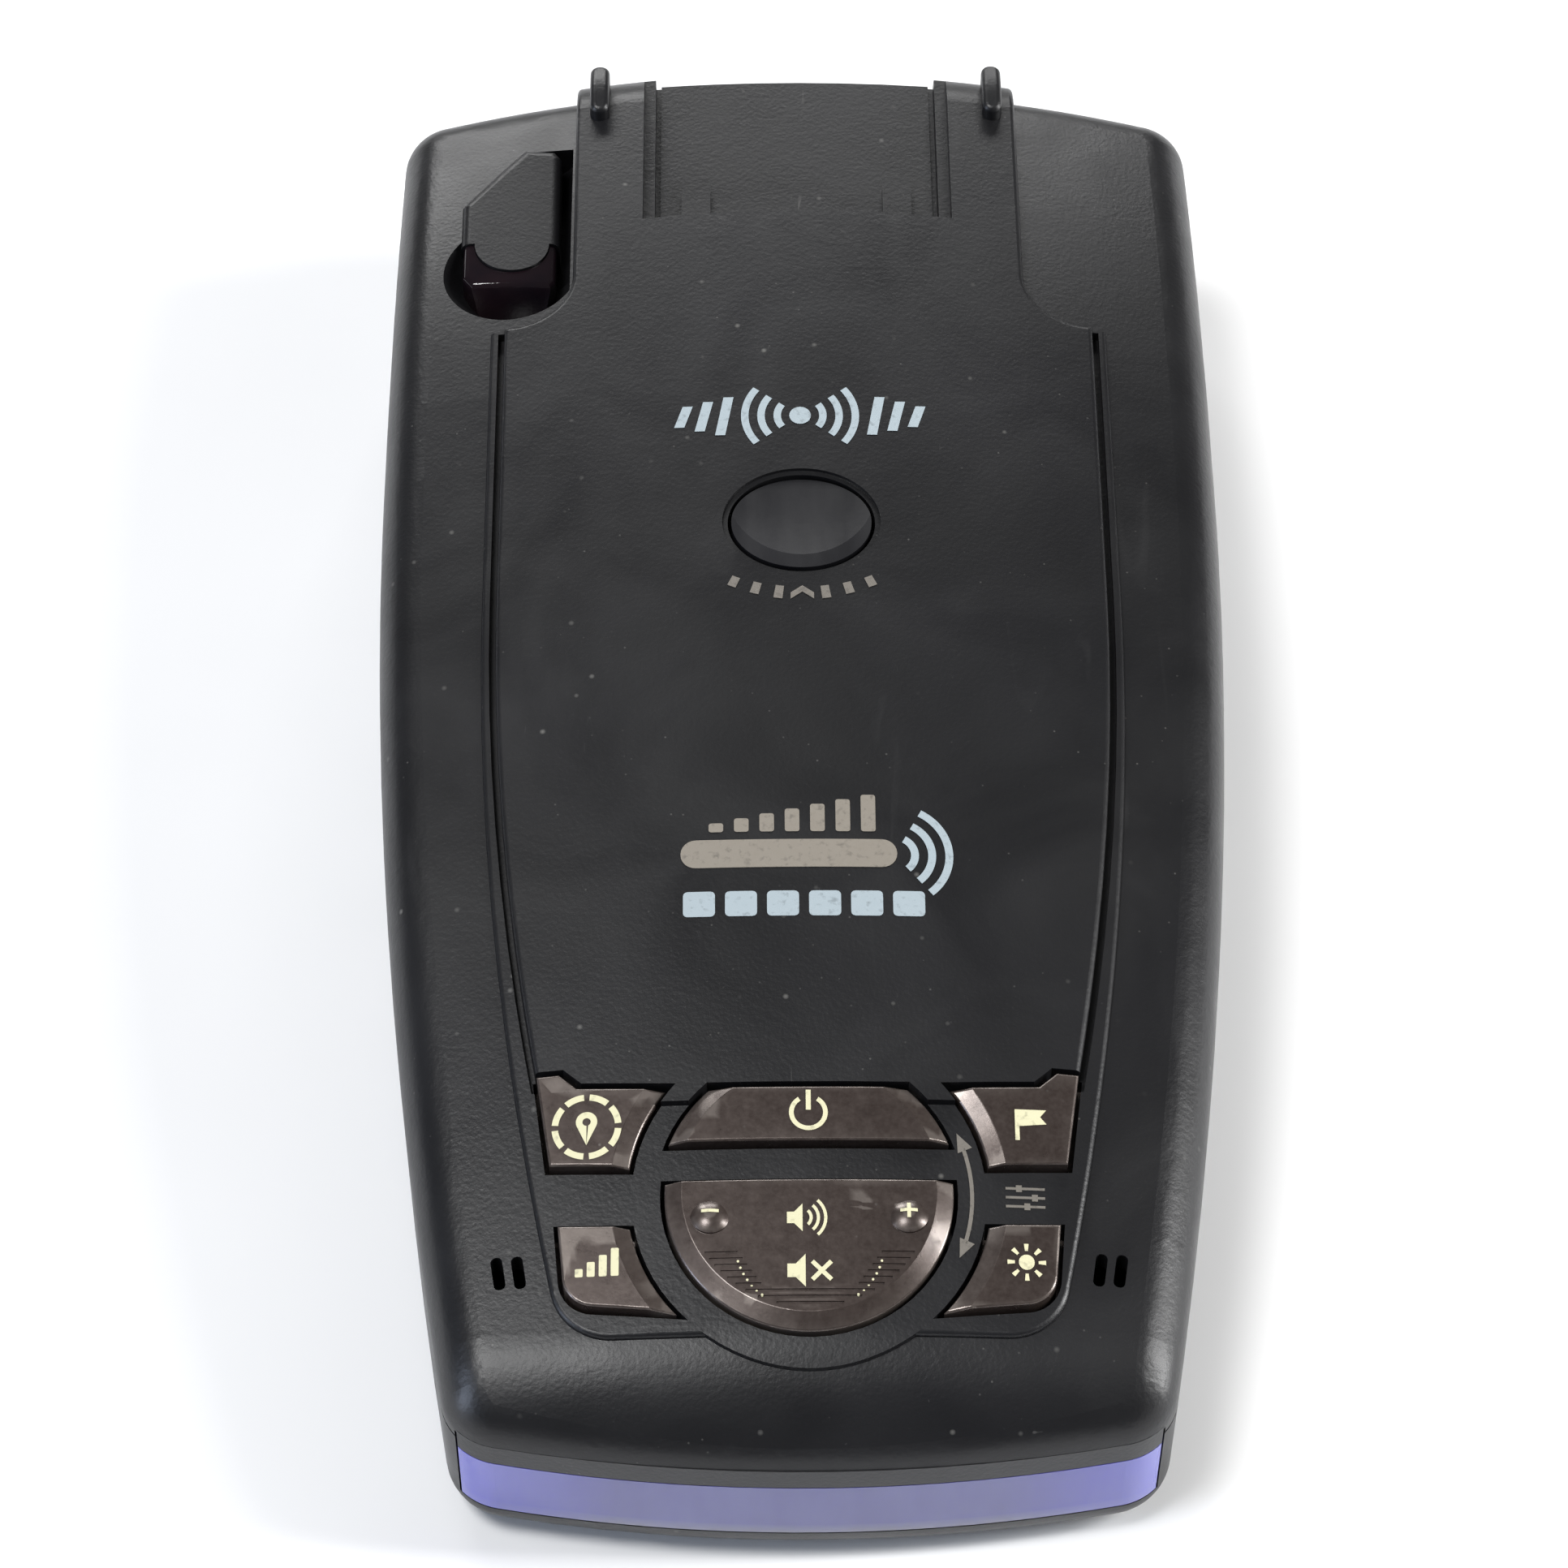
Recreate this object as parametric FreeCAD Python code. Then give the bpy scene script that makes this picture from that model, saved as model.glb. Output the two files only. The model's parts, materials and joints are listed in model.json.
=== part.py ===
"""Windscreen radar detector with a half-disc volume and mute key, built as separate pieces.

Frame: millimetres, +Z up, the detector lying on its flat underside. The origin is the middle of the
bounding box's bottom. -Y faces the driver (display and keys), +Y faces the road (radar horn).
"""
import FreeCAD
import Part
import math
import os

V = FreeCAD.Vector
X_AXIS, Y_AXIS, Z_AXIS = V(1, 0, 0), V(0, 1, 0), V(0, 0, 1)

# ---- overall size -------------------------------------------------------------------------------
LENGTH = 133.35
WIDTH = 69.85
HEIGHT = 31.75
HALF_L, HALF_W = LENGTH / 2, WIDTH / 2
WALL = 1.8
STRETCH = (LENGTH / 133.35) ** 2    # lengthwise curves keep their sag in a longer case
SPLIT_Z = 12.5                  # plane where the two case halves meet
SPLIT_GAP = 0.25                # shadow line between the halves

# ---- plan outline of the case -------------------------------------------------------------------
WIDEST_Y = 20.0                 # station where the case is widest
SIDE_FRONT_R = 462.0 * STRETCH  # side curve from the widest station to the front
SIDE_REAR_R = 2600.0 * STRETCH  # side curve from the widest station to the rear
FRONT_BOW_R = 130.0
REAR_BOW_R = 165.0
FRONT_CORNER_R = 5.0
REAR_CORNER_R = 4.5
TOP_EDGE_R = 4.2
BOTTOM_EDGE_R = 4.0

# ---- crowned top surfaces -----------------------------------------------------------------------
EAR_RISE = 1.05                 # the two guide ears stand this far above the deck
DECK_PEAK_Z = HEIGHT - EAR_RISE
DECK_PEAK_Y = HALF_L - 17.4
DECK_R = 602.0 * STRETCH        # lengthwise curve of the deck
CROWN_R = 220.0                 # crosswise curve of all the top surfaces
DECK_STEP = 0.7                 # deck above the keypad surround
SURROUND_STEP = 0.5             # keypad surround above the shoulders
SHOULDER_BREAK_Y = HALF_L - 38.7    # behind this station the shoulders fall away
SHOULDER_REAR_R = 215.0
BROW_Y = 8.9 - HALF_L           # the top curls down over the display in front of this station
BROW_R = 13.5

# ---- deck, surround and mount channel -----------------------------------------------------------
RAIL_X = 19.2                   # half width of the raised channel housing at the rear
FLARE_R = 5.4                   # concave flare from the housing to the full deck width
SURROUND_X = 26.1
SURROUND_SIDE_R = 280.0 * STRETCH
DECK_X = 24.9
DECK_SIDE_R = 235.0 * STRETCH
DECK_STRAIGHT_Y = 6.0           # the deck's sides are straight behind this station
DECK_FRONT_Y = 26.5 - HALF_L
FLARE_END_Y = HALF_L - 32.1
SURROUND_FRONT_Y = 8.1 - HALF_L
SURROUND_BUMP_R = 13.5          # bump round the half-disc key
SURROUND_CORNER_R = 4.8
GROOVE_W = 0.55
GROOVE_DEPTH = 0.9
DECK_REAR_R = 6.0
DECK_EDGE_R = 0.45
SURROUND_EDGE_R = 0.4
CHANNEL_X = 13.3                # half width of the mount channel
CHANNEL_FLOOR_Z = DECK_PEAK_Z - 4.5
CHANNEL_ROOF_Z = CHANNEL_FLOOR_Z + 3.0
CHANNEL_END_Y = HALF_L - 39.7
MOUTH_Y = HALF_L - 20.1                  # edge of the deck over the channel
MOUTH_R = 150.0
CHANNEL_PLATE = 1.5             # thickness of the channel's floor and walls
LEDGE_W = 1.0                   # step along each side of the open channel
LEDGE_Z = CHANNEL_FLOOR_Z + 2.0
FOOT_GROOVE_W = 0.45            # narrow groove at the foot of each side wall
FOOT_GROOVE_DEPTH = 0.4
RUNNER_X = 8.75
RUNNER_W = 2.5
RUNNER_RISE = 0.9
RUNNER_END_Y = HALF_L - 12.5
EAR_X = 17.15
EAR_W = 1.7
EAR_REAR_Y = HALF_L - 3.2
EAR_FRONT_Y = EAR_REAR_Y - 5.5
EAR_TOP_R = 9.0

# ---- keypad -------------------------------------------------------------------------------------
DISC_Y = 19.1 - HALF_L                  # centre of the key cluster
ROCKER_Y = DISC_Y - 3.2
TILT_MAX = 3.0                  # degrees the rocker tips forward for mute
ROCK_MAX = 2.5                  # degrees it rocks each way for volume
MUTE_R = 10.95
KEY_SCALE = MUTE_R / 10.95      # nubs and ribs follow the half-disc key's size
MUTE_TOP_Y = DISC_Y + 0.9
POWER_R = 11.4
POWER_FRONT_Y = DISC_Y + 4.05
KEY_TOP_Y = DISC_Y + 8.5
SIDE_KEY_R = 13.8               # inner edge of the four corner keys
KEY_RISE = 0.7                  # key tops above the surround
KEY_GAP = 0.35                  # clearance round a key
KEY_TRAVEL = 0.8
KEY_FLANGE = 0.8                # flange width and thickness
KEY_EDGE_R = 0.2
RIM_W = 1.3                     # bevels on the curved edges
RIM_DROP = 0.5
NUB_X = 7.5 * KEY_SCALE
NUB_Y = DISC_Y - 2.0
NUB_R = 1.5
RIB_COUNT, RIB_WHOLE = 9, 3     # engraved lines, and how many of them run the whole way
RIB_TOP_Y = DISC_Y - 5.0 * KEY_SCALE
RIB_PITCH = 0.5 * KEY_SCALE
RIB_W, RIB_DEPTH = 0.2, 0.12
RIB_OPEN_X = 5.4 * KEY_SCALE
STEM_R = 1.2
ROCKER_DEPTH = 5.9              # rocker axes below the deck's centre line
ROCKER_PIN_R = 0.8
PIN_CLEARANCE = 0.05

# ---- release button and latch -------------------------------------------------------------------
RELEASE_Y = 12.7
RELEASE_A, RELEASE_B = 5.75, 4.6
RELEASE_GAP = 0.3
RELEASE_RIM = 0.75              # sunk rim round the button, beyond its edge
RELEASE_RIM_DEPTH = 0.3
RELEASE_STEM_R = 1.6
RELEASE_SUNK = 0.15             # button top below the deck
RELEASE_TRAVEL = 1.2
LATCH_PIN_Y = 2.0
LATCH_PIN_R = 0.8
LATCH_TOP_Z = CHANNEL_FLOOR_Z - 3.8
LATCH_T = 1.6
LATCH_HALF_W = 2.6
TOOTH_Y = CHANNEL_END_Y + 4.0
TOOTH_RISE = 1.4                # tooth above the channel floor
SPRING_R = 1.9
SPRING_WIRE_R = 0.25
SPRING_TURNS = 4

# ---- rear laser pod -----------------------------------------------------------------------------
POD_TOP_Z = DECK_PEAK_Z - 2.7
POD_TOP_R = 30.0
POD_RIGHT_X = -20.5
POD_LEFT_X = -29.0
POD_SEAM_Y = HALF_L - 21.3      # hood ends and lens begins
POD_FRONT_Y = POD_SEAM_Y - 4.5
POD_TAIL_Y = POD_SEAM_Y + 11.4
POD_EDGE_R = 0.9
POD_TONGUE_R = 3.2              # round tongue of the hood let into the lens
POD_TONGUE_T = 1.5
POD_LEAN = 1.3                  # how far the lens's face leans
SCOOP_X, SCOOP_Y = -24.8, POD_SEAM_Y - 2.9
SCOOP_R = 6.2                   # radius of the spherical dish
SCOOP_FLOOR_Z = DECK_PEAK_Z - 7.3
TRENCH_R = 2.0                  # trench that runs back from the dish along the pod's right side
TRENCH_FLOOR_Z = SCOOP_FLOOR_Z + 0.6
SCOOP_WALL_X = -RAIL_X - 0.3     # the dish stops at the deck housing's side

# ---- display and rear windows -------------------------------------------------------------------
WINDOW_X = 26.6
WINDOW_BOTTOM_Z = 4.2
WINDOW_TOP_Z = SPLIT_Z + 0.7
WINDOW_T = 1.8
WINDOW_GAP = 0.15
WINDOW_LIP_T = 0.9              # brow lip that hangs in front of the window's top
WINDOW_LIP_Z = SPLIT_Z - 1.3
COVER_X = 27.5
COVER_BOTTOM_Z = 3.6
COVER_TOP_Z = 18.4
COVER_T = 1.6
LASER_X, LASER_Z = 17.5, 11.0   # forward laser lens
LASER_W, LASER_H = 12.0, 8.0

# ---- boards and electronics ---------------------------------------------------------------------
BOARD_Z = 10.6
BOARD_T = 1.6
BOARD_REAR_Y = HALF_L - 30.7
BOARD_FRONT_Y = 9.7 - HALF_L
SWITCH_H = 1.5
FLOOR_T = 2.0
SCREW_POINTS = ((HALF_W - 9.9, 20.2 - HALF_L), (HALF_W - 5.6, HALF_L - 16.7))
BOARD_SCREW_POINTS = ((21.0, BOARD_REAR_Y - 6.0), (19.0, BOARD_FRONT_Y + 23.5))
BOSS_R = 2.7
SCREW_R = 1.1
SCREW_HEAD_R = 2.0
LABEL_DEPTH = 0.35
LABEL_SUNK = 0.05
HEAD_H = 1.6
HEAD_SEAT_Z = 3.0
SCREW_TOP_Z = SPLIT_Z + 4.5
LIP_H = 1.0                     # locating lip between the case halves
LIP_INSET = 1.0
FIT = 0.05                      # close clearance between assembled pieces
SPEAKER_Y, SPEAKER_R, SPEAKER_H = -20.0, 11.0, 4.6
JACK_Y, JACK_Z = 8.0, 6.9       # modular power jack, on the left side
JACK_OPEN_W, JACK_OPEN_H = 9.8, 6.6
JACK_BODY_L = 14.0
USB_Y, USB_Z = 22.0, 8.6
USB_W, USB_H = 7.7, 3.9
PHONE_Y, PHONE_Z = -6.0, 7.8
PHONE_R = 1.8
HORN_X, HORN_W = -8.0, 30.0
GUIDE_TOP_Z = 16.0
SENSOR_T = 1.0

TALL = 2 * HEIGHT               # taller than anything here, for cutting tools


# ---- small helpers ------------------------------------------------------------------------------
def box(x0, x1, y0, y1, z0, z1):
    return Part.makeBox(x1 - x0, y1 - y0, z1 - z0, V(x0, y0, z0))


def cyl(r, h, x, y, z, axis=Z_AXIS):
    return Part.makeCylinder(r, h, V(x, y, z), axis)


def mirrored(shape):
    return shape.mirror(V(0, 0, 0), X_AXIS)


def both(shape):
    return [shape, mirrored(shape)]


def line(a, b):
    return Part.LineSegment(a, b).toShape()


def arc3(a, b, c):
    return Part.Arc(a, b, c).toShape()


def face_of(edges):
    return Part.Face(Part.Wire(Part.__sortEdges__(edges)))


def prism(points, z0, z1):
    """Straight-sided prism on a closed polygon of (x, y) points."""
    wire = Part.makePolygon([V(x, y, z0) for x, y in points] + [V(*points[0], z0)])
    return Part.Face(wire).extrude(V(0, 0, z1 - z0))


def fuse_all(shapes):
    solid = shapes[0].fuse(list(shapes[1:]))
    return solid.removeSplitter()


def fillet_some(solid, radius, wanted):
    """Rounds the edges that wanted(edge) picks."""
    edges = [e for e in solid.Edges if wanted(e)]
    return solid.makeFillet(radius, edges) if edges else solid


def is_upright(edge):
    a, b = edge.Vertexes[0].Point, edge.Vertexes[-1].Point
    return abs(a.x - b.x) < 1e-6 and abs(a.y - b.y) < 1e-6 and abs(a.z - b.z) > 1e-3


# ---- crowned surfaces ---------------------------------------------------------------------------
def deck_z(y, drop=0.0):
    """Height of the deck's centre line."""
    return DECK_PEAK_Z - drop - DECK_R + math.sqrt(DECK_R ** 2 - (y - DECK_PEAK_Y) ** 2)


def tangent_arc(y_join, radius, drop, y_end):
    """Arc of its own radius that leaves the deck's centre line smoothly at y_join."""
    join = V(0, y_join, deck_z(y_join, drop))
    deck_centre = V(0, DECK_PEAK_Y, DECK_PEAK_Z - drop - DECK_R)
    centre = join + (deck_centre - join).normalize() * radius

    def at(y):
        return V(0, y, centre.z + math.sqrt(max(radius ** 2 - (y - centre.y) ** 2, 0.0)))
    y_end = max(y_end, centre.y - radius)
    mid = (join + at(y_end)) * 0.5 - centre
    return arc3(join, centre + mid.normalize() * radius, at(y_end)), at(y_end)


def crown(drop, shoulder=False):
    """Everything below a crowned surface that lies drop below the deck. The front curls down as a
    brow, and the shoulders also fall away behind SHOULDER_BREAK_Y."""
    y_rear = HALF_L + 10
    low = -5.0
    y_last = SHOULDER_BREAK_Y if shoulder else y_rear
    brow, front = tangent_arc(BROW_Y, BROW_R, drop, -HALF_L - 10)
    brow_join, last = V(0, BROW_Y, deck_z(BROW_Y, drop)), V(0, y_last, deck_z(y_last, drop))
    edges = [brow, arc3(brow_join, V(0, 0, deck_z(0, drop)), last)]
    end = last
    if shoulder:
        fall, end = tangent_arc(SHOULDER_BREAK_Y, SHOULDER_REAR_R, drop, y_rear)
        edges.append(fall)
    low_rear, low_front = V(0, end.y, low), V(0, front.y, low)
    edges += [line(end, low_rear), line(low_rear, low_front), line(low_front, front)]
    axis_z = DECK_PEAK_Z - drop - CROWN_R
    half_angle = math.degrees(math.asin((HALF_W + 8) / CROWN_R))
    face = face_of(edges)
    face.rotate(V(0, 0, axis_z), Y_AXIS, -half_angle)
    return face.revolve(V(0, 0, axis_z), Y_AXIS, 2 * half_angle)


# ---- case outline -------------------------------------------------------------------------------
def side_x(y, inset=0.0):
    radius = SIDE_FRONT_R if y < WIDEST_Y else SIDE_REAR_R
    radius -= inset
    return HALF_W - inset - radius + math.sqrt(radius ** 2 - (y - WIDEST_Y) ** 2)


def bow_y(x, rear, inset=0.0):
    radius = (REAR_BOW_R if rear else FRONT_BOW_R) - inset
    y = HALF_L - inset - radius + math.sqrt(radius ** 2 - x ** 2)
    return y if rear else -y


def corner(rear, inset):
    """Where the side curve meets the front or rear bow."""
    x = HALF_W
    for _ in range(30):
        y = bow_y(x, rear, inset)
        x = side_x(y, inset)
    return V(x, y, 0)


def case_prism(inset, z0, z1):
    """Prism on the case outline, inset all round, with its upright corners rounded."""
    front, rear = corner(False, inset), corner(True, inset)
    widest = V(side_x(WIDEST_Y, inset), WIDEST_Y, 0)
    yf, yr = (front.y + WIDEST_Y) / 2, (rear.y + WIDEST_Y) / 2
    right = [arc3(front, V(side_x(yf, inset), yf, 0), widest),
             arc3(widest, V(side_x(yr, inset), yr, 0), rear)]
    left = [mirrored(e) for e in right]
    ends = [arc3(V(-p.x, p.y, 0), V(0, bow_y(0, is_rear, inset), 0), p)
            for p, is_rear in ((front, False), (rear, True))]
    solid = face_of(right + left + ends).extrude(V(0, 0, z1 - z0))
    solid.translate(V(0, 0, z0))
    for at, radius in ((front, FRONT_CORNER_R), (rear, REAR_CORNER_R)):
        solid = fillet_some(solid, max(radius - inset, 1.0), lambda e: is_upright(e)
                            and abs(e.Vertexes[0].Point.y - at.y) < 0.01)
    return solid


# ---- deck and surround outlines -----------------------------------------------------------------
def curve_x(y, half, radius, grow):
    return half + grow - max(0.0, DECK_STRAIGHT_Y - y) ** 2 / (2 * radius)


def panel_side(half, radius, y_front, grow=0.0, y_rear=FLARE_END_Y):
    """Right-hand side of the deck or surround: straight at the rear, then curving in to the front."""
    y_mid = (y_front + DECK_STRAIGHT_Y) / 2
    knee = V(half + grow, DECK_STRAIGHT_Y, 0)
    end = V(curve_x(y_front, half, radius, grow), y_front, 0)
    curve = arc3(knee, V(curve_x(y_mid, half, radius, grow), y_mid, 0), end)
    return [line(V(half + grow, y_rear, 0), knee), curve], end


def flare(side_half):
    """Right-hand side from the rear to the foot of the concave flare."""
    centre = V(RAIL_X + FLARE_R, FLARE_END_Y + FLARE_R, 0)
    start, foot = V(RAIL_X, centre.y, 0), V(centre.x, FLARE_END_Y, 0)
    mid = centre - V(1, 1, 0) * (FLARE_R / math.sqrt(2))
    rear = V(RAIL_X, HALF_L + 5, 0)
    return [line(rear, start), arc3(start, mid, foot), line(foot, V(side_half, FLARE_END_Y, 0))], rear


def panel_prism(half, radius, y_front, z0, z1, bump_r=0.0):
    """Deck or surround: the channel housing, the flares, the curved sides, and for the surround a
    bump round the keys."""
    sides, end = panel_side(half, radius, y_front)
    rears, rear = flare(half)
    right = [e for e in rears + sides if e.Length > 1e-6]
    edges = right + [mirrored(e) for e in right]
    edges += [line(end, V(-end.x, end.y, 0)), line(rear, V(-rear.x, rear.y, 0))]
    solid = face_of(edges).extrude(V(0, 0, z1 - z0))
    solid.translate(V(0, 0, z0))
    if bump_r:
        solid = fillet_some(solid, SURROUND_CORNER_R, lambda e: is_upright(e)
                            and abs(e.Vertexes[0].Point.y - y_front) < 0.01)
        solid = fuse_all([solid, cyl(bump_r, z1 - z0, 0, DISC_Y, z0)])
    return solid


def middle(edge):
    return edge.valueAt((edge.FirstParameter + edge.LastParameter) / 2)


def is_top_rim(edge, low, inside_solid):
    """True for an edge above low that isn't within inside_solid."""
    point = middle(edge)
    return point.z > low and not is_upright(edge) and not inside_solid.isInside(point, 1e-4, False)


# ---- keys ---------------------------------------------------------------------------------------
def ring_arc(radius, y_a, y_b, side=1):
    """Arc about the key cluster's centre from height y_a to y_b, on the right for side 1."""
    def at(y):
        return V(side * math.sqrt(radius ** 2 - (y - DISC_Y) ** 2), y, 0)
    return arc3(at(y_a), at((y_a + y_b) / 2), at(y_b)), at(y_a), at(y_b)


def chain(points, corner=None, radius=0.0):
    """Straight runs through the points; the corner-th point is rounded with a tangent arc."""
    runs = []
    last = points[0]
    for i, point in enumerate(points[1:], start=1):
        if i != corner:
            runs.append(line(last, point))
            last = point
            continue
        back, on = (last - point).normalize(), (points[i + 1] - point).normalize()
        half = back.getAngle(on) / 2
        reach = radius / math.tan(half)
        into, out = point + back * reach, point + on * reach
        bisector = (back + on).normalize()
        mid = point + bisector * (radius / math.sin(half) - radius)
        runs += [line(last, into), arc3(into, mid, out)]
        last = out
    return runs


def mute_edges(grow):
    top = MUTE_TOP_Y + grow
    radius = MUTE_R + grow
    half = math.sqrt(radius ** 2 - (top - DISC_Y) ** 2)
    return [arc3(V(-half, top, 0), V(0, DISC_Y - radius, 0), V(half, top, 0)),
            line(V(half, top, 0), V(-half, top, 0))]


def power_edges(grow):
    side, low, high = ring_arc(POWER_R + grow, POWER_FRONT_Y - grow, KEY_TOP_Y + grow)
    return [side, mirrored(side), line(low, V(-low.x, low.y, 0)), line(high, V(-high.x, high.y, 0))]


def rear_key_edges(grow):
    """Right-hand rear key (its mirror image is the left one), with its raised outer tab."""
    inner, low, high = ring_arc(SIDE_KEY_R - grow, DISC_Y + 2.2 - grow, KEY_TOP_Y + grow)
    return [inner] + chain([low, V(19.7 + grow, DISC_Y + 2.5 - grow, 0),
                            V(20.8 + grow, KEY_TOP_Y + 1.4 + grow, 0),
                            V(19.1 - grow, KEY_TOP_Y + 1.5 + grow, 0),
                            V(17.7 - grow, KEY_TOP_Y + 0.3 + grow, 0), high])


def front_key_edges(grow):
    """Right-hand front key (its mirror image is the left one), with its outer corner rounded."""
    inner, low, high = ring_arc(SIDE_KEY_R - grow, DISC_Y - 9.5 - grow, DISC_Y - 2.6 + grow)
    outer, tip = V(19.0 + grow, DISC_Y - 2.4 + grow, 0), V(18.4 + grow, DISC_Y - 8.6 - grow, 0)
    return [inner] + chain([low, tip, outer, high], corner=1, radius=2.5 + grow)


KEYS = {
    "power_button": (power_edges, False, (0.0, DISC_Y + 6.2)),
    "gps_button": (rear_key_edges, True, (16.8, DISC_Y + 5.8)),
    "mark_button": (rear_key_edges, False, (16.8, DISC_Y + 5.8)),
    "sensitivity_button": (front_key_edges, True, (15.9, DISC_Y - 5.6)),
    "brightness_button": (front_key_edges, False, (15.9, DISC_Y - 5.6)),
}


def key_prism(edges_of, grow, left, z0=0.0, z1=TALL):
    solid = face_of(edges_of(grow)).extrude(V(0, 0, z1 - z0))
    solid.translate(V(0, 0, z0))
    return mirrored(solid) if left else solid


def stem_foot_z():
    return BOARD_Z + BOARD_T + SWITCH_H + KEY_TRAVEL + 0.15


# ---- outer bodies -------------------------------------------------------------------------------
SHOULDER_DROP = DECK_STEP + SURROUND_STEP
ROOF_DROP = SHOULDER_DROP + WALL        # underside of the case's roof


def case_blank():
    """Outside of the whole case up to the shoulders, with its top and bottom edges rounded."""
    solid = case_prism(0.0, 0.0, TALL).common(crown(SHOULDER_DROP, shoulder=True))
    inside = case_prism(0.3, -1.0, TALL)
    solid = fillet_some(solid, TOP_EDGE_R, lambda e: is_top_rim(e, SPLIT_Z - 1, inside))
    return fillet_some(solid, BOTTOM_EDGE_R, lambda e: abs(middle(e).z) < 0.01)


def deck_blank():
    solid = panel_prism(DECK_X, DECK_SIDE_R, DECK_FRONT_Y, SPLIT_Z, TALL)
    solid = solid.common(crown(0.0)).common(case_prism(0.0, 0.0, TALL))
    solid = fillet_some(solid, DECK_REAR_R, lambda e: middle(e).z > 25 and middle(e).y > HALF_L - 5
                        and abs(middle(e).x) < 1)
    return fillet_some(solid, DECK_EDGE_R, lambda e: middle(e).z > 20 and abs(middle(e).x) > 5
                       and not is_upright(e))


def surround_blank():
    solid = panel_prism(SURROUND_X, SURROUND_SIDE_R, SURROUND_FRONT_Y, SPLIT_Z, TALL,
                        SURROUND_BUMP_R)
    solid = solid.common(crown(DECK_STEP)).common(case_prism(4.0, 0.0, TALL))
    return fillet_some(solid, SURROUND_EDGE_R, lambda e: abs(middle(e).x) > 15 and middle(e).z > 15
                       and not is_upright(e) and middle(e).y < FLARE_END_Y - 0.1)


def opening(half_x, z0, z1, rear, grow=0.0):
    """Cutting box for the display window (front) or the antenna cover (rear)."""
    y0, y1 = (HALF_L - 7, HALF_L + 5) if rear else (-HALF_L - 5, -HALF_L + 7)
    return box(-half_x - grow, half_x + grow, y0, y1, z0 - grow, z1 + grow)


def panes():
    """Cutters for the two big windows in the case, with their clearance."""
    return [opening(WINDOW_X, WINDOW_BOTTOM_Z, WINDOW_TOP_Z, False, WINDOW_GAP),
            opening(COVER_X, COVER_BOTTOM_Z, COVER_TOP_Z, True, WINDOW_GAP)]


def lip_ring(inset, z1):
    return case_prism(inset, SPLIT_Z - 0.5, z1).cut(case_prism(WALL, SPLIT_Z - 1, z1 + 1))


def boss(x, y, z0, z1):
    return both(cyl(BOSS_R, z1 - z0, x, y, z0))


def window_lip(grow):
    """Lip of the upper case in front of the display window, or with grow the step that clears it."""
    skin = case_prism(0.0, 0.0, TALL).cut(case_prism(WINDOW_LIP_T + grow, -1.0, TALL + 1))
    return skin.common(box(-WINDOW_X - grow, WINDOW_X + grow, -HALF_L - 5, -HALF_L + 7,
                           WINDOW_LIP_Z - grow, WINDOW_TOP_Z + 0.4))


# ---- upper case ---------------------------------------------------------------------------------
def channel_cutters():
    """The recess that is open to the rear, the slot under the deck's edge, and the tooth's hole."""
    floor, roof = CHANNEL_FLOOR_Z, CHANNEL_ROOF_Z
    narrow = CHANNEL_X - LEDGE_W
    mouth = cyl(MOUTH_R, TALL, 0, MOUTH_Y - MOUTH_R, floor - 1)
    upper = box(-CHANNEL_X, CHANNEL_X, CHANNEL_END_Y, HALF_L + 5, LEDGE_Z, TALL).cut(mouth)
    lower = box(-narrow, narrow, CHANNEL_END_Y, HALF_L + 5, floor, roof)
    slot = box(-CHANNEL_X, CHANNEL_X, CHANNEL_END_Y, HALF_L + 5, LEDGE_Z, roof)
    grooves = both(box(narrow - FOOT_GROOVE_W, narrow, CHANNEL_END_Y, HALF_L + 5,
                       floor - FOOT_GROOVE_DEPTH, floor + 0.1))
    half_w = LATCH_HALF_W + 0.4
    tooth_hole = box(-half_w, half_w, TOOTH_Y - 2.6, TOOTH_Y + 1.6, floor - CHANNEL_PLATE - 1, floor + 0.1)
    return [upper, lower, slot, tooth_hole] + grooves


def runner():
    """Raised D-ended strip on the channel floor, right-hand side."""
    r = RUNNER_W / 2
    y_round = RUNNER_END_Y - r
    strip = box(RUNNER_X - r, RUNNER_X + r, CHANNEL_END_Y, y_round, CHANNEL_FLOOR_Z,
                CHANNEL_FLOOR_Z + RUNNER_RISE)
    return strip.fuse(cyl(r, RUNNER_RISE, RUNNER_X, y_round, CHANNEL_FLOOR_Z)).removeSplitter()


def ear():
    """Small glossy guide rib beside the channel, right-hand side."""
    r = EAR_W / 2
    y0, y1 = EAR_FRONT_Y + r, EAR_REAR_Y - r
    foot_z = DECK_PEAK_Z - 5.0
    bar = box(EAR_X - r, EAR_X + r, y0, y1, foot_z, TALL)
    bar = fuse_all([bar, cyl(r, TALL - foot_z, EAR_X, y0, foot_z), cyl(r, TALL - foot_z, EAR_X, y1, foot_z)])
    bar = bar.common(cyl(EAR_TOP_R, 40, 0, (y0 + y1) / 2, HEIGHT - EAR_TOP_R, X_AXIS))
    return fillet_some(bar, EAR_W * 0.3, lambda e: middle(e).z > DECK_PEAK_Z and not is_upright(e))


def pod_outline(grow):
    """Plan of the rear laser pod on the left shoulder, hood and lens together."""
    front = POD_FRONT_Y - POD_LEAN
    return [(POD_RIGHT_X - 1.3, front - grow), (POD_RIGHT_X + grow, front + 1.6),
            (POD_RIGHT_X + grow, POD_TAIL_Y - 0.8), (POD_RIGHT_X - 0.6, POD_TAIL_Y + grow),
            (POD_RIGHT_X - 3.3, POD_TAIL_Y + grow), (POD_LEFT_X - grow, POD_TAIL_Y - 6.6),
            (POD_LEFT_X - grow, front + 2.2), (POD_LEFT_X + 1.6, front - grow)]


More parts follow.
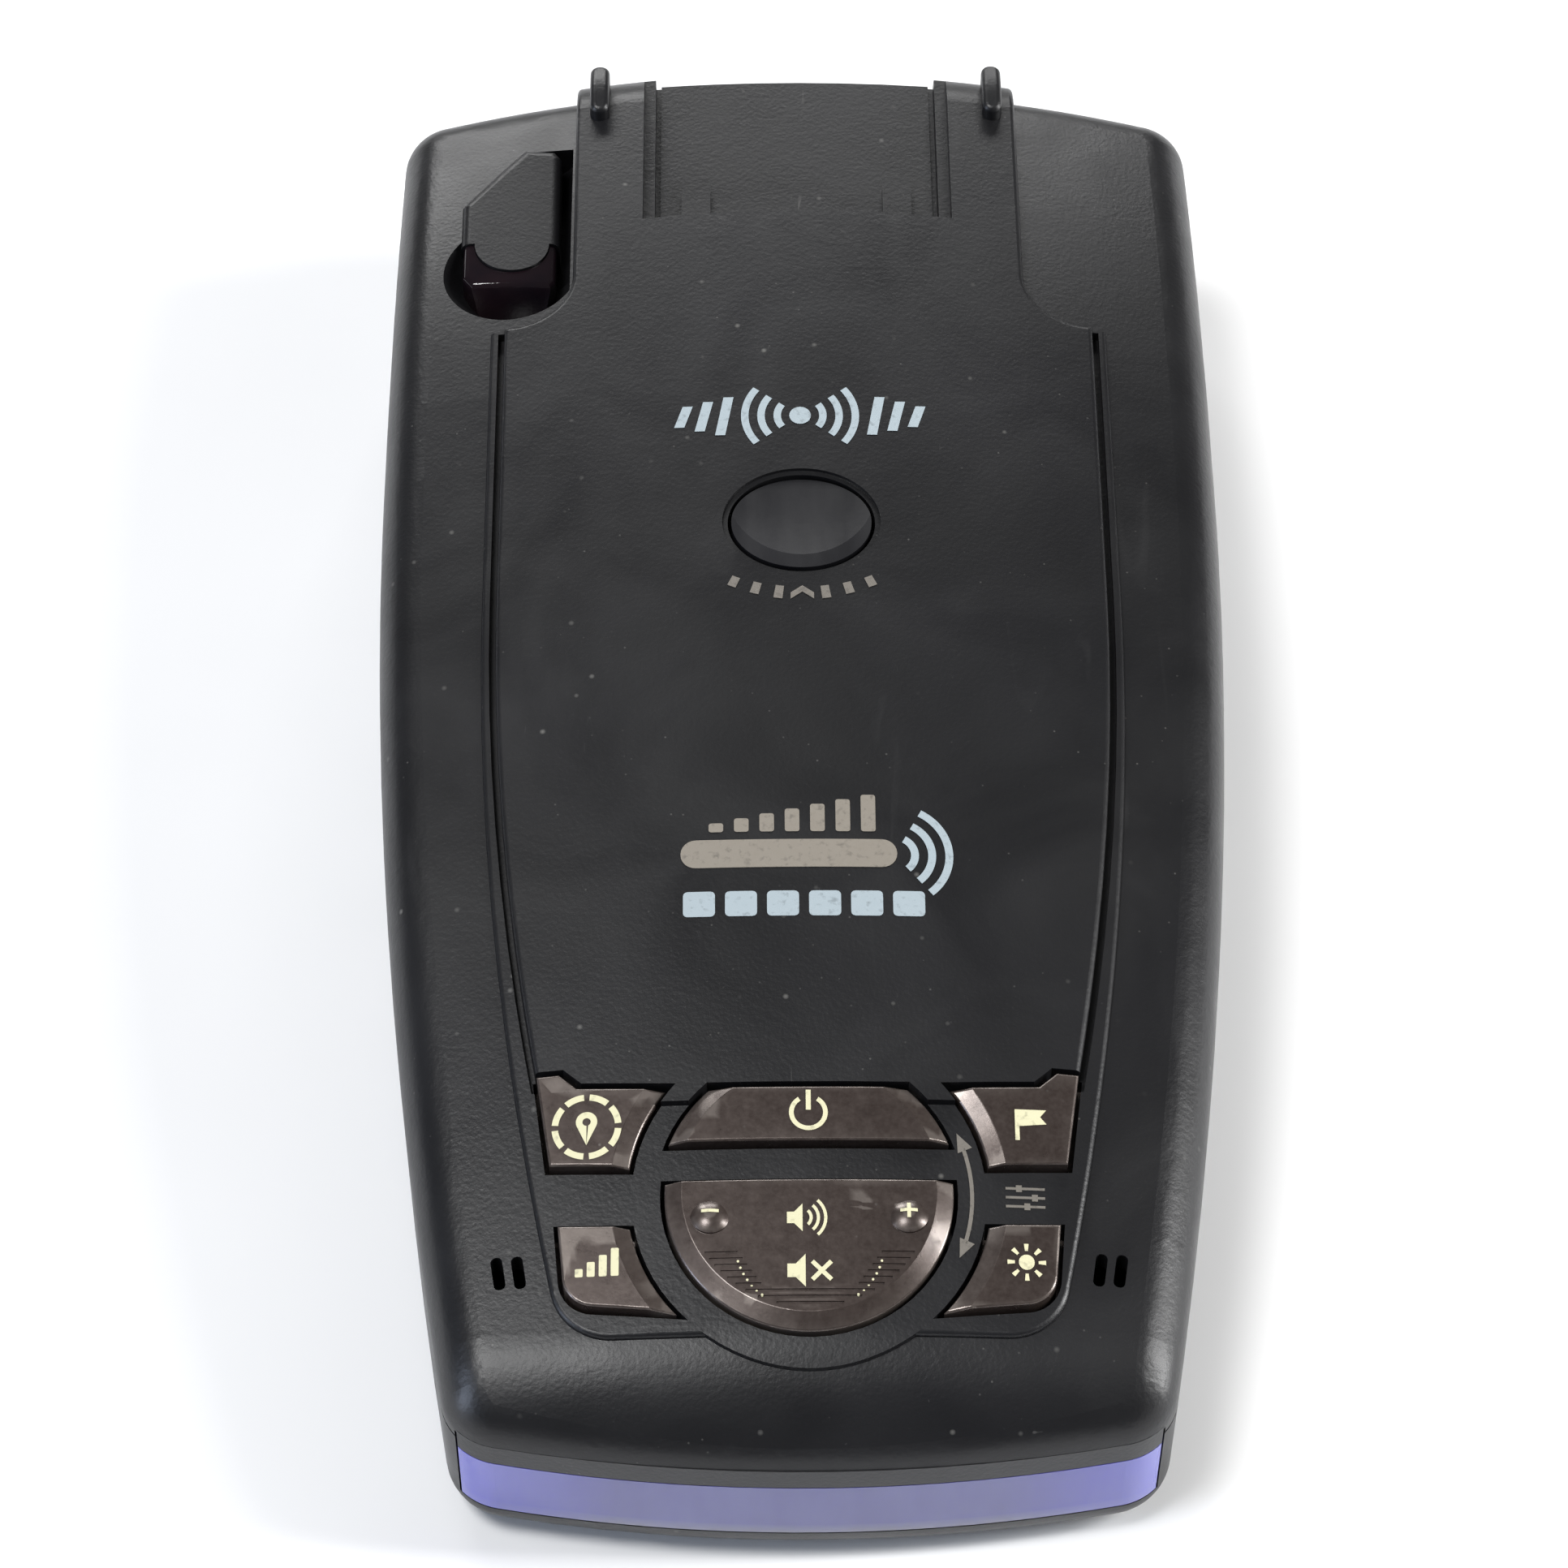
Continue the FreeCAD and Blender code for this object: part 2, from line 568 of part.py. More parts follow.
def pod_prism(grow, y0, y1):
    return prism(pod_outline(grow), 0.0, TALL).common(box(-40, 0, y0, y1, -5, TALL))


def pod_top(drop=0.0):
    """Everything under the pod's rounded top, a tilted barrel."""
    return cyl(POD_TOP_R, HALF_L, SCOOP_X, 0, POD_TOP_Z - drop - POD_TOP_R, Y_AXIS)


def pod_tongue(grow):
    """Round end of the hood that lies on the lens."""
    z0 = POD_TOP_Z - POD_TONGUE_T - grow
    disc = cyl(POD_TONGUE_R + grow, TALL - z0, SCOOP_X + 0.2, POD_SEAM_Y, z0)
    return disc.common(box(-40, 0, 0, POD_SEAM_Y + 1.0, z0, TALL))


def hood():
    """Raised housing of the rear laser, with its upper edges rounded."""
    solid = pod_prism(0.0, POD_FRONT_Y, HALF_L).common(pod_top())
    solid = fillet_some(solid, POD_EDGE_R, lambda e: middle(e).z > POD_TOP_Z - 1.5 and not is_upright(e)
                        and middle(e).y > POD_FRONT_Y + 0.1)
    tongue = solid.common(pod_tongue(0.0))
    block = solid.common(box(-40, 0, POD_SEAM_Y + FIT, HALF_L, SCOOP_FLOOR_Z - 1.0, TALL))
    return block.fuse(tongue).removeSplitter()


def scoop_ball():
    return Part.makeSphere(SCOOP_R, V(SCOOP_X, SCOOP_Y, SCOOP_FLOOR_Z + SCOOP_R))


def scoop():
    """Dish in the left shoulder that gives the rear laser lens its view, and the trench behind it."""
    trench = cyl(TRENCH_R, POD_TAIL_Y + 0.4 - SCOOP_Y, SCOOP_WALL_X - TRENCH_R, SCOOP_Y,
                 TRENCH_FLOOR_Z + TRENCH_R, Y_AXIS)
    trench = trench.fuse(box(SCOOP_WALL_X - 2 * TRENCH_R, SCOOP_WALL_X, SCOOP_Y, POD_TAIL_Y + 0.4,
                             TRENCH_FLOOR_Z + TRENCH_R, TALL))
    return scoop_ball().fuse(trench).common(box(-40, SCOOP_WALL_X, 0, 80, 0, TALL))


def vents():
    """Two slanted slots beside the front keys, right-hand side."""
    slots = []
    for x in (21.95, 23.5):
        slot = rounded_box(-0.45, 0.45, -1.3, 1.3, 5, TALL, 0.4, Z_AXIS)
        slot.rotate(V(0, 0, 0), Z_AXIS, -9)
        slot.translate(V(x, DISC_Y - 5.3, 0))
        slots.append(slot)
    return slots


def latch_lugs():
    """Two hanging lugs that hold the latch's pin."""
    x0 = LATCH_HALF_W + 0.2
    y0, y1 = LATCH_PIN_Y - 2.2, LATCH_PIN_Y + 2.2
    lug = box(x0, x0 + 1.6, y0, y1, LATCH_TOP_Z - LATCH_T / 2 - 2.2, deck_z(LATCH_PIN_Y, ROOF_DROP - 1))
    bore = cyl(LATCH_PIN_R + 0.02, 20, -10, LATCH_PIN_Y, LATCH_TOP_Z - LATCH_T / 2, X_AXIS)
    return [piece.cut(bore) for piece in both(lug)]


def top_case():
    outer = case_blank().common(box(-50, 50, -LENGTH, LENGTH, SPLIT_Z + SPLIT_GAP / 2, TALL))
    outer = outer.fuse([deck_blank(), surround_blank()])
    groove = panel_prism(DECK_X + GROOVE_W, DECK_SIDE_R, DECK_FRONT_Y + 1.5, 5.0, TALL)
    groove = groove.cut(panel_prism(DECK_X, DECK_SIDE_R, DECK_FRONT_Y, 4.0, TALL + 1))
    groove = groove.cut(crown(DECK_STEP + GROOVE_DEPTH))
    groove = groove.common(box(-40, 40, DECK_FRONT_Y + 1.5, FLARE_END_Y - 0.2, 5, TALL))
    outer = outer.cut(groove)

    cavity = case_prism(WALL, SPLIT_Z - 1, TALL).common(crown(ROOF_DROP, shoulder=True))
    half = CHANNEL_X + CHANNEL_PLATE
    channel = box(-half, half, CHANNEL_END_Y - CHANNEL_PLATE, HALF_L, CHANNEL_FLOOR_Z - CHANNEL_PLATE, TALL)
    dish = cyl(SCOOP_R + 0.6, TALL, SCOOP_X, SCOOP_Y, SCOOP_FLOOR_Z - WALL)
    dish = dish.fuse(box(SCOOP_WALL_X - 2 * TRENCH_R - 1.0, -RAIL_X + WALL, SCOOP_Y, POD_TAIL_Y + 0.4 + WALL,
                         TRENCH_FLOOR_Z - WALL, TALL))
    bosses = [b for x, y in SCREW_POINTS for b in boss(x, y, SPLIT_Z + SPLIT_GAP / 2, TALL)]
    cavity = cavity.cut([channel, dish] + bosses + latch_lugs())
    shell = outer.cut(cavity)

    shell = shell.cut(scoop()).fuse([hood()] + both(ear()))
    cuts = channel_cutters() + panes() + [s for v in vents() for s in both(v)]
    cuts += [key_prism(f, KEY_GAP, left) for f, left, _ in KEYS.values()]
    cuts += [key_prism(mute_edges, KEY_GAP, False), release_oval(RELEASE_GAP, 20.0, TALL)]
    cuts += [release_oval(RELEASE_RIM, 20.0, TALL).cut(crown(RELEASE_RIM_DEPTH))]
    cuts += [lip_ring(LIP_INSET - 0.15, SPLIT_Z + LIP_H + 0.2), lens_stem(FIT)]
    cuts += [b for x, y in SCREW_POINTS
             for b in both(cyl(SCREW_R + 0.02, SCREW_TOP_Z + 0.6 - SPLIT_Z, x, y, SPLIT_Z))]
    shell = shell.cut(cuts)
    return fuse_all([shell, window_lip(0.0)] + both(runner()))


# ---- lower case ---------------------------------------------------------------------------------
def grille_slots():
    """Sound slots in the floor under the speaker."""
    return [box(-half, half, SPEAKER_Y + dy - 0.6, SPEAKER_Y + dy + 0.6, -1, FLOOR_T + 1)
            for dy, half in ((-6, 5.0), (-3, 7.5), (0, 8.5), (3, 7.5), (6, 5.0))]


def jack_cutters():
    x0, x1 = -HALF_W - 2, -HALF_W + 6
    jack = box(x0, x1, JACK_Y - JACK_OPEN_W / 2, JACK_Y + JACK_OPEN_W / 2,
               JACK_Z - JACK_OPEN_H / 2, JACK_Z + JACK_OPEN_H / 2)
    usb = box(x0, x1, USB_Y - USB_W / 2, USB_Y + USB_W / 2, USB_Z - USB_H / 2, USB_Z + USB_H / 2)
    phone = cyl(PHONE_R + 1.2, x1 - x0, x0, PHONE_Y, PHONE_Z, X_AXIS)
    return [jack, usb, phone]


def bottom_case():
    outer = case_blank().common(box(-50, 50, -LENGTH, LENGTH, -1, SPLIT_Z - SPLIT_GAP / 2))
    cavity = case_prism(WALL, FLOOR_T, TALL)
    shell = outer.cut(cavity).fuse(lip_ring(LIP_INSET, SPLIT_Z + LIP_H))
    pillars = [b for x, y in SCREW_POINTS for b in boss(x, y, FLOOR_T, SPLIT_Z - SPLIT_GAP / 2)]
    posts = [cyl(1.6, BOARD_Z - FLOOR_T, x, y, FLOOR_T) for x, y in board_screw_points()]
    shell = fuse_all([shell] + pillars + posts)
    cuts = [c for x, y in SCREW_POINTS for c in both(cyl(SCREW_R + 0.15, TALL, x, y, -1))]
    cuts += [c for x, y in SCREW_POINTS for c in both(cyl(SCREW_HEAD_R + 0.25, HEAD_SEAT_Z + 1, x, y, -1))]
    cuts += [cyl(0.72, 5.0, x, y, BOARD_Z - 4.0) for x, y in board_screw_points()]
    return shell.cut(cuts + panes() + grille_slots() + jack_cutters() + [label_blank(0.1)])


def label_blank(grow=0.0):
    """Rating label, or with grow the recess that it lies in."""
    z0 = LABEL_SUNK if not grow else -1.0
    return rounded_box(-17 - grow, 17 + grow, 12 - grow, 34 + grow, z0, LABEL_DEPTH, 1.5, Z_AXIS)


def rounded_box(x0, x1, y0, y1, z0, z1, radius, along):
    solid = box(x0, x1, y0, y1, z0, z1)

    def is_along(edge):
        a, b = edge.Vertexes[0].Point, edge.Vertexes[-1].Point
        return (b - a).cross(along).Length < 1e-6
    return fillet_some(solid, radius, is_along)


def board_screw_points():
    return [(side * x, y) for x, y in BOARD_SCREW_POINTS for side in (1, -1)]


# ---- windows ------------------------------------------------------------------------------------
def pane(half_x, z0, z1, thickness, rear):
    """Window that follows the case's outline, with a thin flange behind the case wall."""
    skin = case_prism(0.0, 0.0, TALL).cut(case_prism(thickness, -1.0, TALL + 1))
    glass = skin.common(opening(half_x, z0, z1, rear))
    flange = case_prism(WALL + FIT, 0.0, TALL).cut(case_prism(WALL + 0.8, -1.0, TALL + 1))
    flange = flange.common(opening(half_x + 0.9, z0 - 0.9, z1 + 0.9, rear))
    flange = flange.common(crown(ROOF_DROP + FIT, shoulder=True))
    neck = case_prism(thickness - 0.1, 0.0, TALL).cut(case_prism(WALL + 0.2, -1.0, TALL + 1))
    return fuse_all([glass, neck.common(opening(half_x, z0, z1, rear)), flange])


def display_window():
    return pane(WINDOW_X, WINDOW_BOTTOM_Z, WINDOW_TOP_Z, WINDOW_T, False).cut(window_lip(0.1))


def laser_block(grow, y0, y1):
    return rounded_box(LASER_X - LASER_W / 2 - grow, LASER_X + LASER_W / 2 + grow, y0, y1,
                       LASER_Z - LASER_H / 2 - grow, LASER_Z + LASER_H / 2 + grow, 1.6 + grow, Y_AXIS)


def antenna_cover():
    cover = pane(COVER_X, COVER_BOTTOM_Z, COVER_TOP_Z, COVER_T, True)
    return cover.cut(laser_block(FIT, HALF_L - 8, HALF_L + 5))


def front_laser_lens():
    lens = laser_block(0.0, HALF_L - 6, HALF_L + 2).common(case_prism(0.4, 0.0, TALL))
    collar = laser_block(1.0, HALF_L - 6, HALF_L + 2).common(case_prism(WALL + 0.8 + FIT, 0.0, TALL))
    return fuse_all([lens, collar.common(box(-50, 50, HALF_L - 6, HALF_L, 0, TALL))])


# ---- rear laser lens ----------------------------------------------------------------------------
def lens_stem(grow):
    return box(SCOOP_X - 1.8 - grow, SCOOP_X + 2.2 + grow, POD_SEAM_Y - 2.8 - grow, POD_SEAM_Y + grow,
               SCOOP_FLOOR_Z - 4.0, SCOOP_FLOOR_Z + 1.0 + grow)


def rear_laser_lens():
    """Dark nose with a leaning face, let into the dish in front of the hood."""
    low, high, front = SCOOP_FLOOR_Z - 1.0, POD_TOP_Z + 1.0, POD_FRONT_Y - POD_LEAN
    lean = POD_LEAN * (high - low) / (POD_TOP_Z - SCOOP_FLOOR_Z)
    side = [V(-40, front - 0.3, low), V(-40, front - 0.3 + lean, high), V(-40, POD_SEAM_Y, high),
            V(-40, POD_SEAM_Y, low)]
    wedge = Part.Face(Part.makePolygon(side + side[:1])).extrude(V(40, 0, 0))
    nose = pod_prism(-0.25, front - 1, POD_SEAM_Y).common(pod_top(0.25)).common(wedge)
    nose = fillet_some(nose, 0.6, lambda e: middle(e).z > POD_TOP_Z - 1.6 and middle(e).y < POD_SEAM_Y - 0.1
                       and not is_upright(e))
    nose = nose.common(scoop_ball()).cut(pod_tongue(FIT))
    return fuse_all([nose, lens_stem(0.0)])


# ---- keys ---------------------------------------------------------------------------------------
def slab(top_drop, thickness):
    """Layer between two crowned surfaces."""
    return crown(top_drop).cut(crown(top_drop + thickness))


KEY_DROP = DECK_STEP - KEY_RISE
CAP_DEPTH = ROOF_DROP + FIT - KEY_DROP


def finished_cap(cap, y, radius, one_chain=False):
    """Cap with a wide shallow bevel on its top edges of that radius about the key cluster's centre,
    and all its top edges softened."""
    low = deck_z(y, ROOF_DROP) + 0.5

    def on_top(edge):
        return middle(edge).z > low and not is_upright(edge)
    arcs = [e for e in cap.Edges if on_top(e)
            and abs(math.hypot(middle(e).x, middle(e).y - DISC_Y) - radius) < 0.02]
    for group in [arcs] if one_chain else [[e] for e in arcs]:
        ways = [cap.makeChamfer(a, b, group) for a, b in ((RIM_W, RIM_DROP), (RIM_DROP, RIM_W))]
        cap = min(ways, key=lambda way: way.CenterOfGravity.z)
    return fillet_some(cap, KEY_EDGE_R, on_top)


def push_key(name):
    """Cap, retaining flange under the roof and a stem that presses a switch."""
    edges_of, left, (x, y) = KEYS[name]
    cap = key_prism(edges_of, 0.0, left).common(slab(KEY_DROP, CAP_DEPTH + KEY_FLANGE / 2))
    low = deck_z(y, ROOF_DROP)
    cap = finished_cap(cap, y, POWER_R if edges_of is power_edges else SIDE_KEY_R)
    flange = key_prism(edges_of, KEY_FLANGE, left).common(slab(ROOF_DROP + FIT, KEY_FLANGE))
    foot = stem_foot_z()
    stem = cyl(STEM_R, low - KEY_FLANGE - foot, -x if left else x, y, foot)
    return fuse_all([cap, flange, stem])


def volume_mute_key():
    """Half-disc key that rocks left and right for volume and tips forward for mute."""
    bottom_drop = ROOF_DROP + FIT + KEY_FLANGE
    body = key_prism(mute_edges, 0.0, False).common(slab(KEY_DROP, bottom_drop - KEY_DROP))
    body = finished_cap(body, DISC_Y - 2.0, MUTE_R, one_chain=True).cut(rib_grooves())
    nubs = []
    for side in (-1, 1):
        nub_z = deck_z(NUB_Y, KEY_DROP) - NUB_X ** 2 / (2 * CROWN_R)
        ball = Part.makeSphere(NUB_R * 1.6, V(side * NUB_X, NUB_Y, nub_z + 0.45 - NUB_R * 1.6))
        nubs.append(ball.common(cyl(NUB_R, 3.0, side * NUB_X, NUB_Y, nub_z - 1.5)))
    foot = BOARD_Z + BOARD_T + SWITCH_H + 0.5
    stems = [cyl(STEM_R, TALL, x, y, foot).common(crown(bottom_drop - 0.3))
             for x, y in MUTE_SWITCHES]
    body = body.fuse(nubs + stems)
    inner, outer = PIVOT_ARM + 0.1, PIVOT_ARM + 1.3
    lugs = [box(-1.7, 1.7, ROCKER_Y + a, ROCKER_Y + b, ROCKER_Z - 1.6, TALL)
            for a, b in ((inner - 1.4, outer - 1.2), (-outer + 1.2, -inner + 1.4))]
    lugs = [lug.common(crown(bottom_drop - 0.3)) for lug in lugs]
    body = fuse_all([body] + lugs)
    return body.cut(cyl(ROCKER_PIN_R + PIN_CLEARANCE, 20, 0, ROCKER_Y - 10, ROCKER_Z, Y_AXIS)
                    .common(box(-5, 5, ROCKER_Y - PIVOT_ARM - 2, ROCKER_Y + PIVOT_ARM + 2, 0, TALL)))


def rib_grooves():
    """Fine engraved lines across the rocker's lower half, left open round its lower legend."""
    lines = []
    for i in range(RIB_COUNT):
        y = RIB_TOP_Y - i * RIB_PITCH
        reach = math.sqrt((MUTE_R - RIM_W - 0.3) ** 2 - (y - DISC_Y) ** 2)
        inner = max(RIB_OPEN_X - 0.35 * KEY_SCALE * i, 0.0) if i < RIB_COUNT - RIB_WHOLE else 0.0
        if inner:
            lines += both(box(inner, reach, y - RIB_W / 2, y + RIB_W / 2, 0, TALL))
        else:
            lines.append(box(-reach, reach, y - RIB_W / 2, y + RIB_W / 2, 0, TALL))
    skin = slab(KEY_DROP - 0.5, 0.5 + RIB_DEPTH)
    return [cut.common(skin) for cut in lines]


PIVOT_ARM = 3.6                 # reach of the crossing pins from their middle
MUTE_SWITCHES = [(-NUB_X, NUB_Y), (NUB_X, NUB_Y), (0.0, DISC_Y - 8.4 * KEY_SCALE)]
ROCKER_Z = deck_z(ROCKER_Y, ROCKER_DEPTH)


def rocker_pivot():
    """Crossed pins: one held by the bracket, the other by the key."""
    hub = box(-1.3, 1.3, ROCKER_Y - 1.3, ROCKER_Y + 1.3, ROCKER_Z - 1.1, ROCKER_Z + 1.1)
    across = cyl(ROCKER_PIN_R, 2 * PIVOT_ARM, -PIVOT_ARM, ROCKER_Y, ROCKER_Z, X_AXIS)
    along = cyl(ROCKER_PIN_R, 2 * PIVOT_ARM, 0, ROCKER_Y - PIVOT_ARM, ROCKER_Z, Y_AXIS)
    return fuse_all([hub, across, along])


def rocker_bracket():
    """Base on the board with two posts for the rocker's crosswise pin."""
    z0 = BOARD_Z + BOARD_T
    base = box(-PIVOT_ARM, PIVOT_ARM, ROCKER_Y - 1.5, ROCKER_Y + 1.5, z0, z0 + 0.8)
    posts = both(box(PIVOT_ARM - 1.5, PIVOT_ARM, ROCKER_Y - 1.4, ROCKER_Y + 1.4, z0, ROCKER_Z + 1.3))
    bore = cyl(ROCKER_PIN_R + PIN_CLEARANCE, 20, -10, ROCKER_Y, ROCKER_Z, X_AXIS)
    return fuse_all([base] + posts).cut(bore)


# ---- release button, latch and spring -----------------------------------------------------------
def release_oval(grow, z0, z1):
    ellipse = Part.Ellipse(V(0, RELEASE_Y, 0), RELEASE_A + grow, RELEASE_B + grow).toShape()
    solid = Part.Face(Part.Wire([ellipse])).extrude(V(0, 0, z1 - z0))
    solid.translate(V(0, 0, z0))
    return solid


def release_button():
    cap = release_oval(0.0, 0.0, TALL).common(slab(RELEASE_SUNK, ROOF_DROP + FIT + 0.5 - RELEASE_SUNK))
    top = deck_z(RELEASE_Y, RELEASE_SUNK)
    cap = cap.cut(Part.makeSphere(60.0, V(0, RELEASE_Y, top + 60.0 - 0.3)))
    flange = release_oval(0.8, 0.0, TALL).common(slab(ROOF_DROP + FIT, 1.0))
    tip = Part.makeSphere(RELEASE_STEM_R, V(0, RELEASE_Y, LATCH_TOP_Z + FIT + RELEASE_STEM_R))
    stem_z = LATCH_TOP_Z + FIT + RELEASE_STEM_R
    stem = cyl(RELEASE_STEM_R, deck_z(RELEASE_Y, ROOF_DROP) - 0.5 - stem_z, 0, RELEASE_Y, stem_z)
    return fuse_all([cap, flange, stem, tip])


def release_latch():
    """Lever under the button; its tooth stands in the mount channel and drops when pressed."""
    w, z0, z1 = LATCH_HALF_W, LATCH_TOP_Z - LATCH_T, LATCH_TOP_Z
    mid_z = (z0 + z1) / 2
    arm = box(-w, w, LATCH_PIN_Y, TOOTH_Y + 0.4, z0, z1)
    hub = cyl(LATCH_PIN_R + 1.0, 2 * w, -w, LATCH_PIN_Y, mid_z, X_AXIS)
    tip_z = CHANNEL_FLOOR_Z + TOOTH_RISE
    tooth_side = [V(-w, TOOTH_Y - 1.8, z1 - 0.1), V(-w, TOOTH_Y + 0.4, z1 - 0.1),
                  V(-w, TOOTH_Y + 0.4, tip_z - 1.0), V(-w, TOOTH_Y - 0.4, tip_z),
                  V(-w, TOOTH_Y - 1.8, tip_z), V(-w, TOOTH_Y - 1.8, z1 - 0.1)]
    tooth = Part.Face(Part.makePolygon(tooth_side)).extrude(V(2 * w, 0, 0))
    spigot = cyl(SPRING_R - SPRING_WIRE_R - 0.1, 0.8, 0, RELEASE_Y, z0 - 0.8)
    lever = fuse_all([arm, hub, tooth, spigot])
    return lever.cut(cyl(LATCH_PIN_R + PIN_CLEARANCE, 20, -10, LATCH_PIN_Y, mid_z, X_AXIS))


def latch_pin():
    half = LATCH_HALF_W + 0.2 + 1.6
    return cyl(LATCH_PIN_R, 2 * half, -half, LATCH_PIN_Y, LATCH_TOP_Z - LATCH_T / 2, X_AXIS)


def release_spring():
    z0 = SHIELD_TOP_Z + SPRING_WIRE_R
    height = LATCH_TOP_Z - LATCH_T - SPRING_WIRE_R - z0
    helix = Part.makeHelix(height / SPRING_TURNS, height, SPRING_R)
    start = Part.Wire(Part.makeCircle(SPRING_WIRE_R, V(SPRING_R, 0, 0), Y_AXIS))
    coil = Part.Wire(helix).makePipeShell([start], True, True)
    coil.translate(V(0, RELEASE_Y, z0))
    return coil


# ---- boards -------------------------------------------------------------------------------------
SHIELD_TOP_Z = BOARD_Z + BOARD_T + 4.0


def main_board():
    board = case_prism(WALL + 1.0, BOARD_Z, BOARD_Z + BOARD_T)
    board = board.common(box(-50, 50, BOARD_FRONT_Y, BOARD_REAR_Y, 0, TALL))
    cuts = [c for x, y in SCREW_POINTS for c in both(cyl(BOSS_R + 0.4, TALL, x, y, 0))]
    cuts += [cyl(0.85, TALL, x, y, 0) for x, y in board_screw_points()]
    return board.cut(cuts)


def switch_points():
    points = [(-x if left else x, y) for _, left, (x, y) in KEYS.values()]
    return points + MUTE_SWITCHES


def key_switches():
    z = BOARD_Z + BOARD_T
    bodies = [box(x - 1.7, x + 1.7, y - 1.7, y + 1.7, z, z + SWITCH_H - 0.3)
              .fuse(cyl(0.9, SWITCH_H, x, y, z)).removeSplitter() for x, y in switch_points()]
    return Part.makeCompound([b.Solids[0] for b in bodies])


def keypad_mat():
    """Silicone sheet on the board, open round the switches and the rocker's bracket."""
    z = BOARD_Z + BOARD_T
    sheet = rounded_box(-21, 21, BOARD_FRONT_Y + 0.3, DECK_FRONT_Y + 3.5, z, z + 0.6, 1.5, Z_AXIS)
    holes = [box(x - 2, x + 2, y - 2, y + 2, 0, TALL) for x, y in switch_points()]
    holes.append(box(-PIVOT_ARM - 0.3, PIVOT_ARM + 0.3, ROCKER_Y - 1.8, ROCKER_Y + 1.8, 0, TALL))
    return sheet.cut(holes)


def display_module():
    return box(-24, 24, -HALF_L + 5.2, -HALF_L + 7.2, WINDOW_BOTTOM_Z, WINDOW_TOP_Z)


def display_board():
    board = box(-25, 25, -HALF_L + 7.2, -HALF_L + 8.4, 3.0, 14.2)
    return board


def board_header():
    y0 = -HALF_L + 8.4
    return box(-8, 8, y0, BOARD_FRONT_Y + 3.0, BOARD_Z - 2.5, BOARD_Z)


def rf_shield():
    z0 = BOARD_Z + BOARD_T
    can = rounded_box(-15, 15, RELEASE_Y - 20.7, RELEASE_Y + 13.3, z0, SHIELD_TOP_Z, 1.0, Z_AXIS)
    return can.cut(box(-14.7, 14.7, RELEASE_Y - 20.4, RELEASE_Y + 13.0, z0 - 1, SHIELD_TOP_Z - 0.3))


def gps_antenna():
    z0 = BOARD_Z + BOARD_T
    patch = box(-9, 9, -32, -14, z0, z0 + 4.0)
    return patch.fuse(box(-7.5, 7.5, -30.5, -15.5, z0 + 4.0, z0 + 4.1)).removeSplitter()


def horn_antenna():
    """Stepped waveguide body with a flared mouth that opens to the rear."""
    def frame_at(y, half_x, z0, z1):
        pts = [V(HORN_X - half_x, y, z0), V(HORN_X + half_x, y, z0), V(HORN_X + half_x, y, z1),
               V(HORN_X - half_x, y, z1)]
        return Part.makePolygon(pts + pts[:1])
    half = HORN_W / 2
    rear = HALF_L - 6.5
    outer = Part.makeLoft([frame_at(BOARD_REAR_Y + 4.0, 7.0, 6.0, 14.0),
                           frame_at(rear, half, FLOOR_T + 0.6, 18.8)], True)
    inner = Part.makeLoft([frame_at(BOARD_REAR_Y + 6.0, 5.6, 7.4, 12.6),
                           frame_at(rear + 0.01, half - 1, FLOOR_T + 1.6, 17.8)], True)
    guide = box(HORN_X - 7, HORN_X + 7, BOARD_REAR_Y - 6, BOARD_REAR_Y + 4.2, BOARD_Z + BOARD_T, GUIDE_TOP_Z)
    throat = box(HORN_X - 7, HORN_X + 7, BOARD_REAR_Y + 0.2, BOARD_REAR_Y + 4.2, 6.0, GUIDE_TOP_Z)
    return fuse_all([outer.cut(inner), guide, throat])


def speaker():
    z0 = FLOOR_T + 0.6
    basket = cyl(SPEAKER_R, 1.6, 0, SPEAKER_Y, z0)
    magnet = cyl(SPEAKER_R * 0.55, SPEAKER_H - 1.6, 0, SPEAKER_Y, z0 + 1.6)
    return fuse_all([basket, magnet])


def speaker_gasket():
    ring = cyl(SPEAKER_R, 0.6, 0, SPEAKER_Y, FLOOR_T)
    return ring.cut(cyl(SPEAKER_R - 1.6, 2, 0, SPEAKER_Y, FLOOR_T - 1))


# ---- sockets on the left side -------------------------------------------------------------------
def socket_face_x(y_front):
    """Just inside the left wall, where a socket body whose front corner is at y_front can sit."""
    return -side_x(y_front, WALL + 0.1)


def power_jack():
    """Modular power socket: open to the left, with a small latch notch in its roof."""
    w, h = JACK_OPEN_W / 2 + 1.2, JACK_OPEN_H / 2 + 0.35
    x0 = socket_face_x(JACK_Y - w)
    body = box(x0, x0 + JACK_BODY_L, JACK_Y - w, JACK_Y + w, JACK_Z - h, BOARD_Z)
    well = box(x0 - 1, x0 + JACK_BODY_L - 2, JACK_Y - JACK_OPEN_W / 2, JACK_Y + JACK_OPEN_W / 2,
               JACK_Z - JACK_OPEN_H / 2, JACK_Z + JACK_OPEN_H / 2)
    return body.cut(well)


def usb_jack():
    x0 = socket_face_x(USB_Y - USB_W / 2)
    body = box(x0, x0 + 7.0, USB_Y - USB_W / 2, USB_Y + USB_W / 2, USB_Z - USB_H / 2, BOARD_Z)
    well = box(x0 - 1, x0 + 6, USB_Y - USB_W / 2 + 0.5, USB_Y + USB_W / 2 - 0.5,
               USB_Z - USB_H / 2 + 0.4, USB_Z + USB_H / 2 - 0.5)
    tongue = box(x0 + 0.6, x0 + 6, USB_Y - 2.4, USB_Y + 2.4, USB_Z - 0.3, USB_Z + 0.4)
    return fuse_all([body.cut(well), tongue])


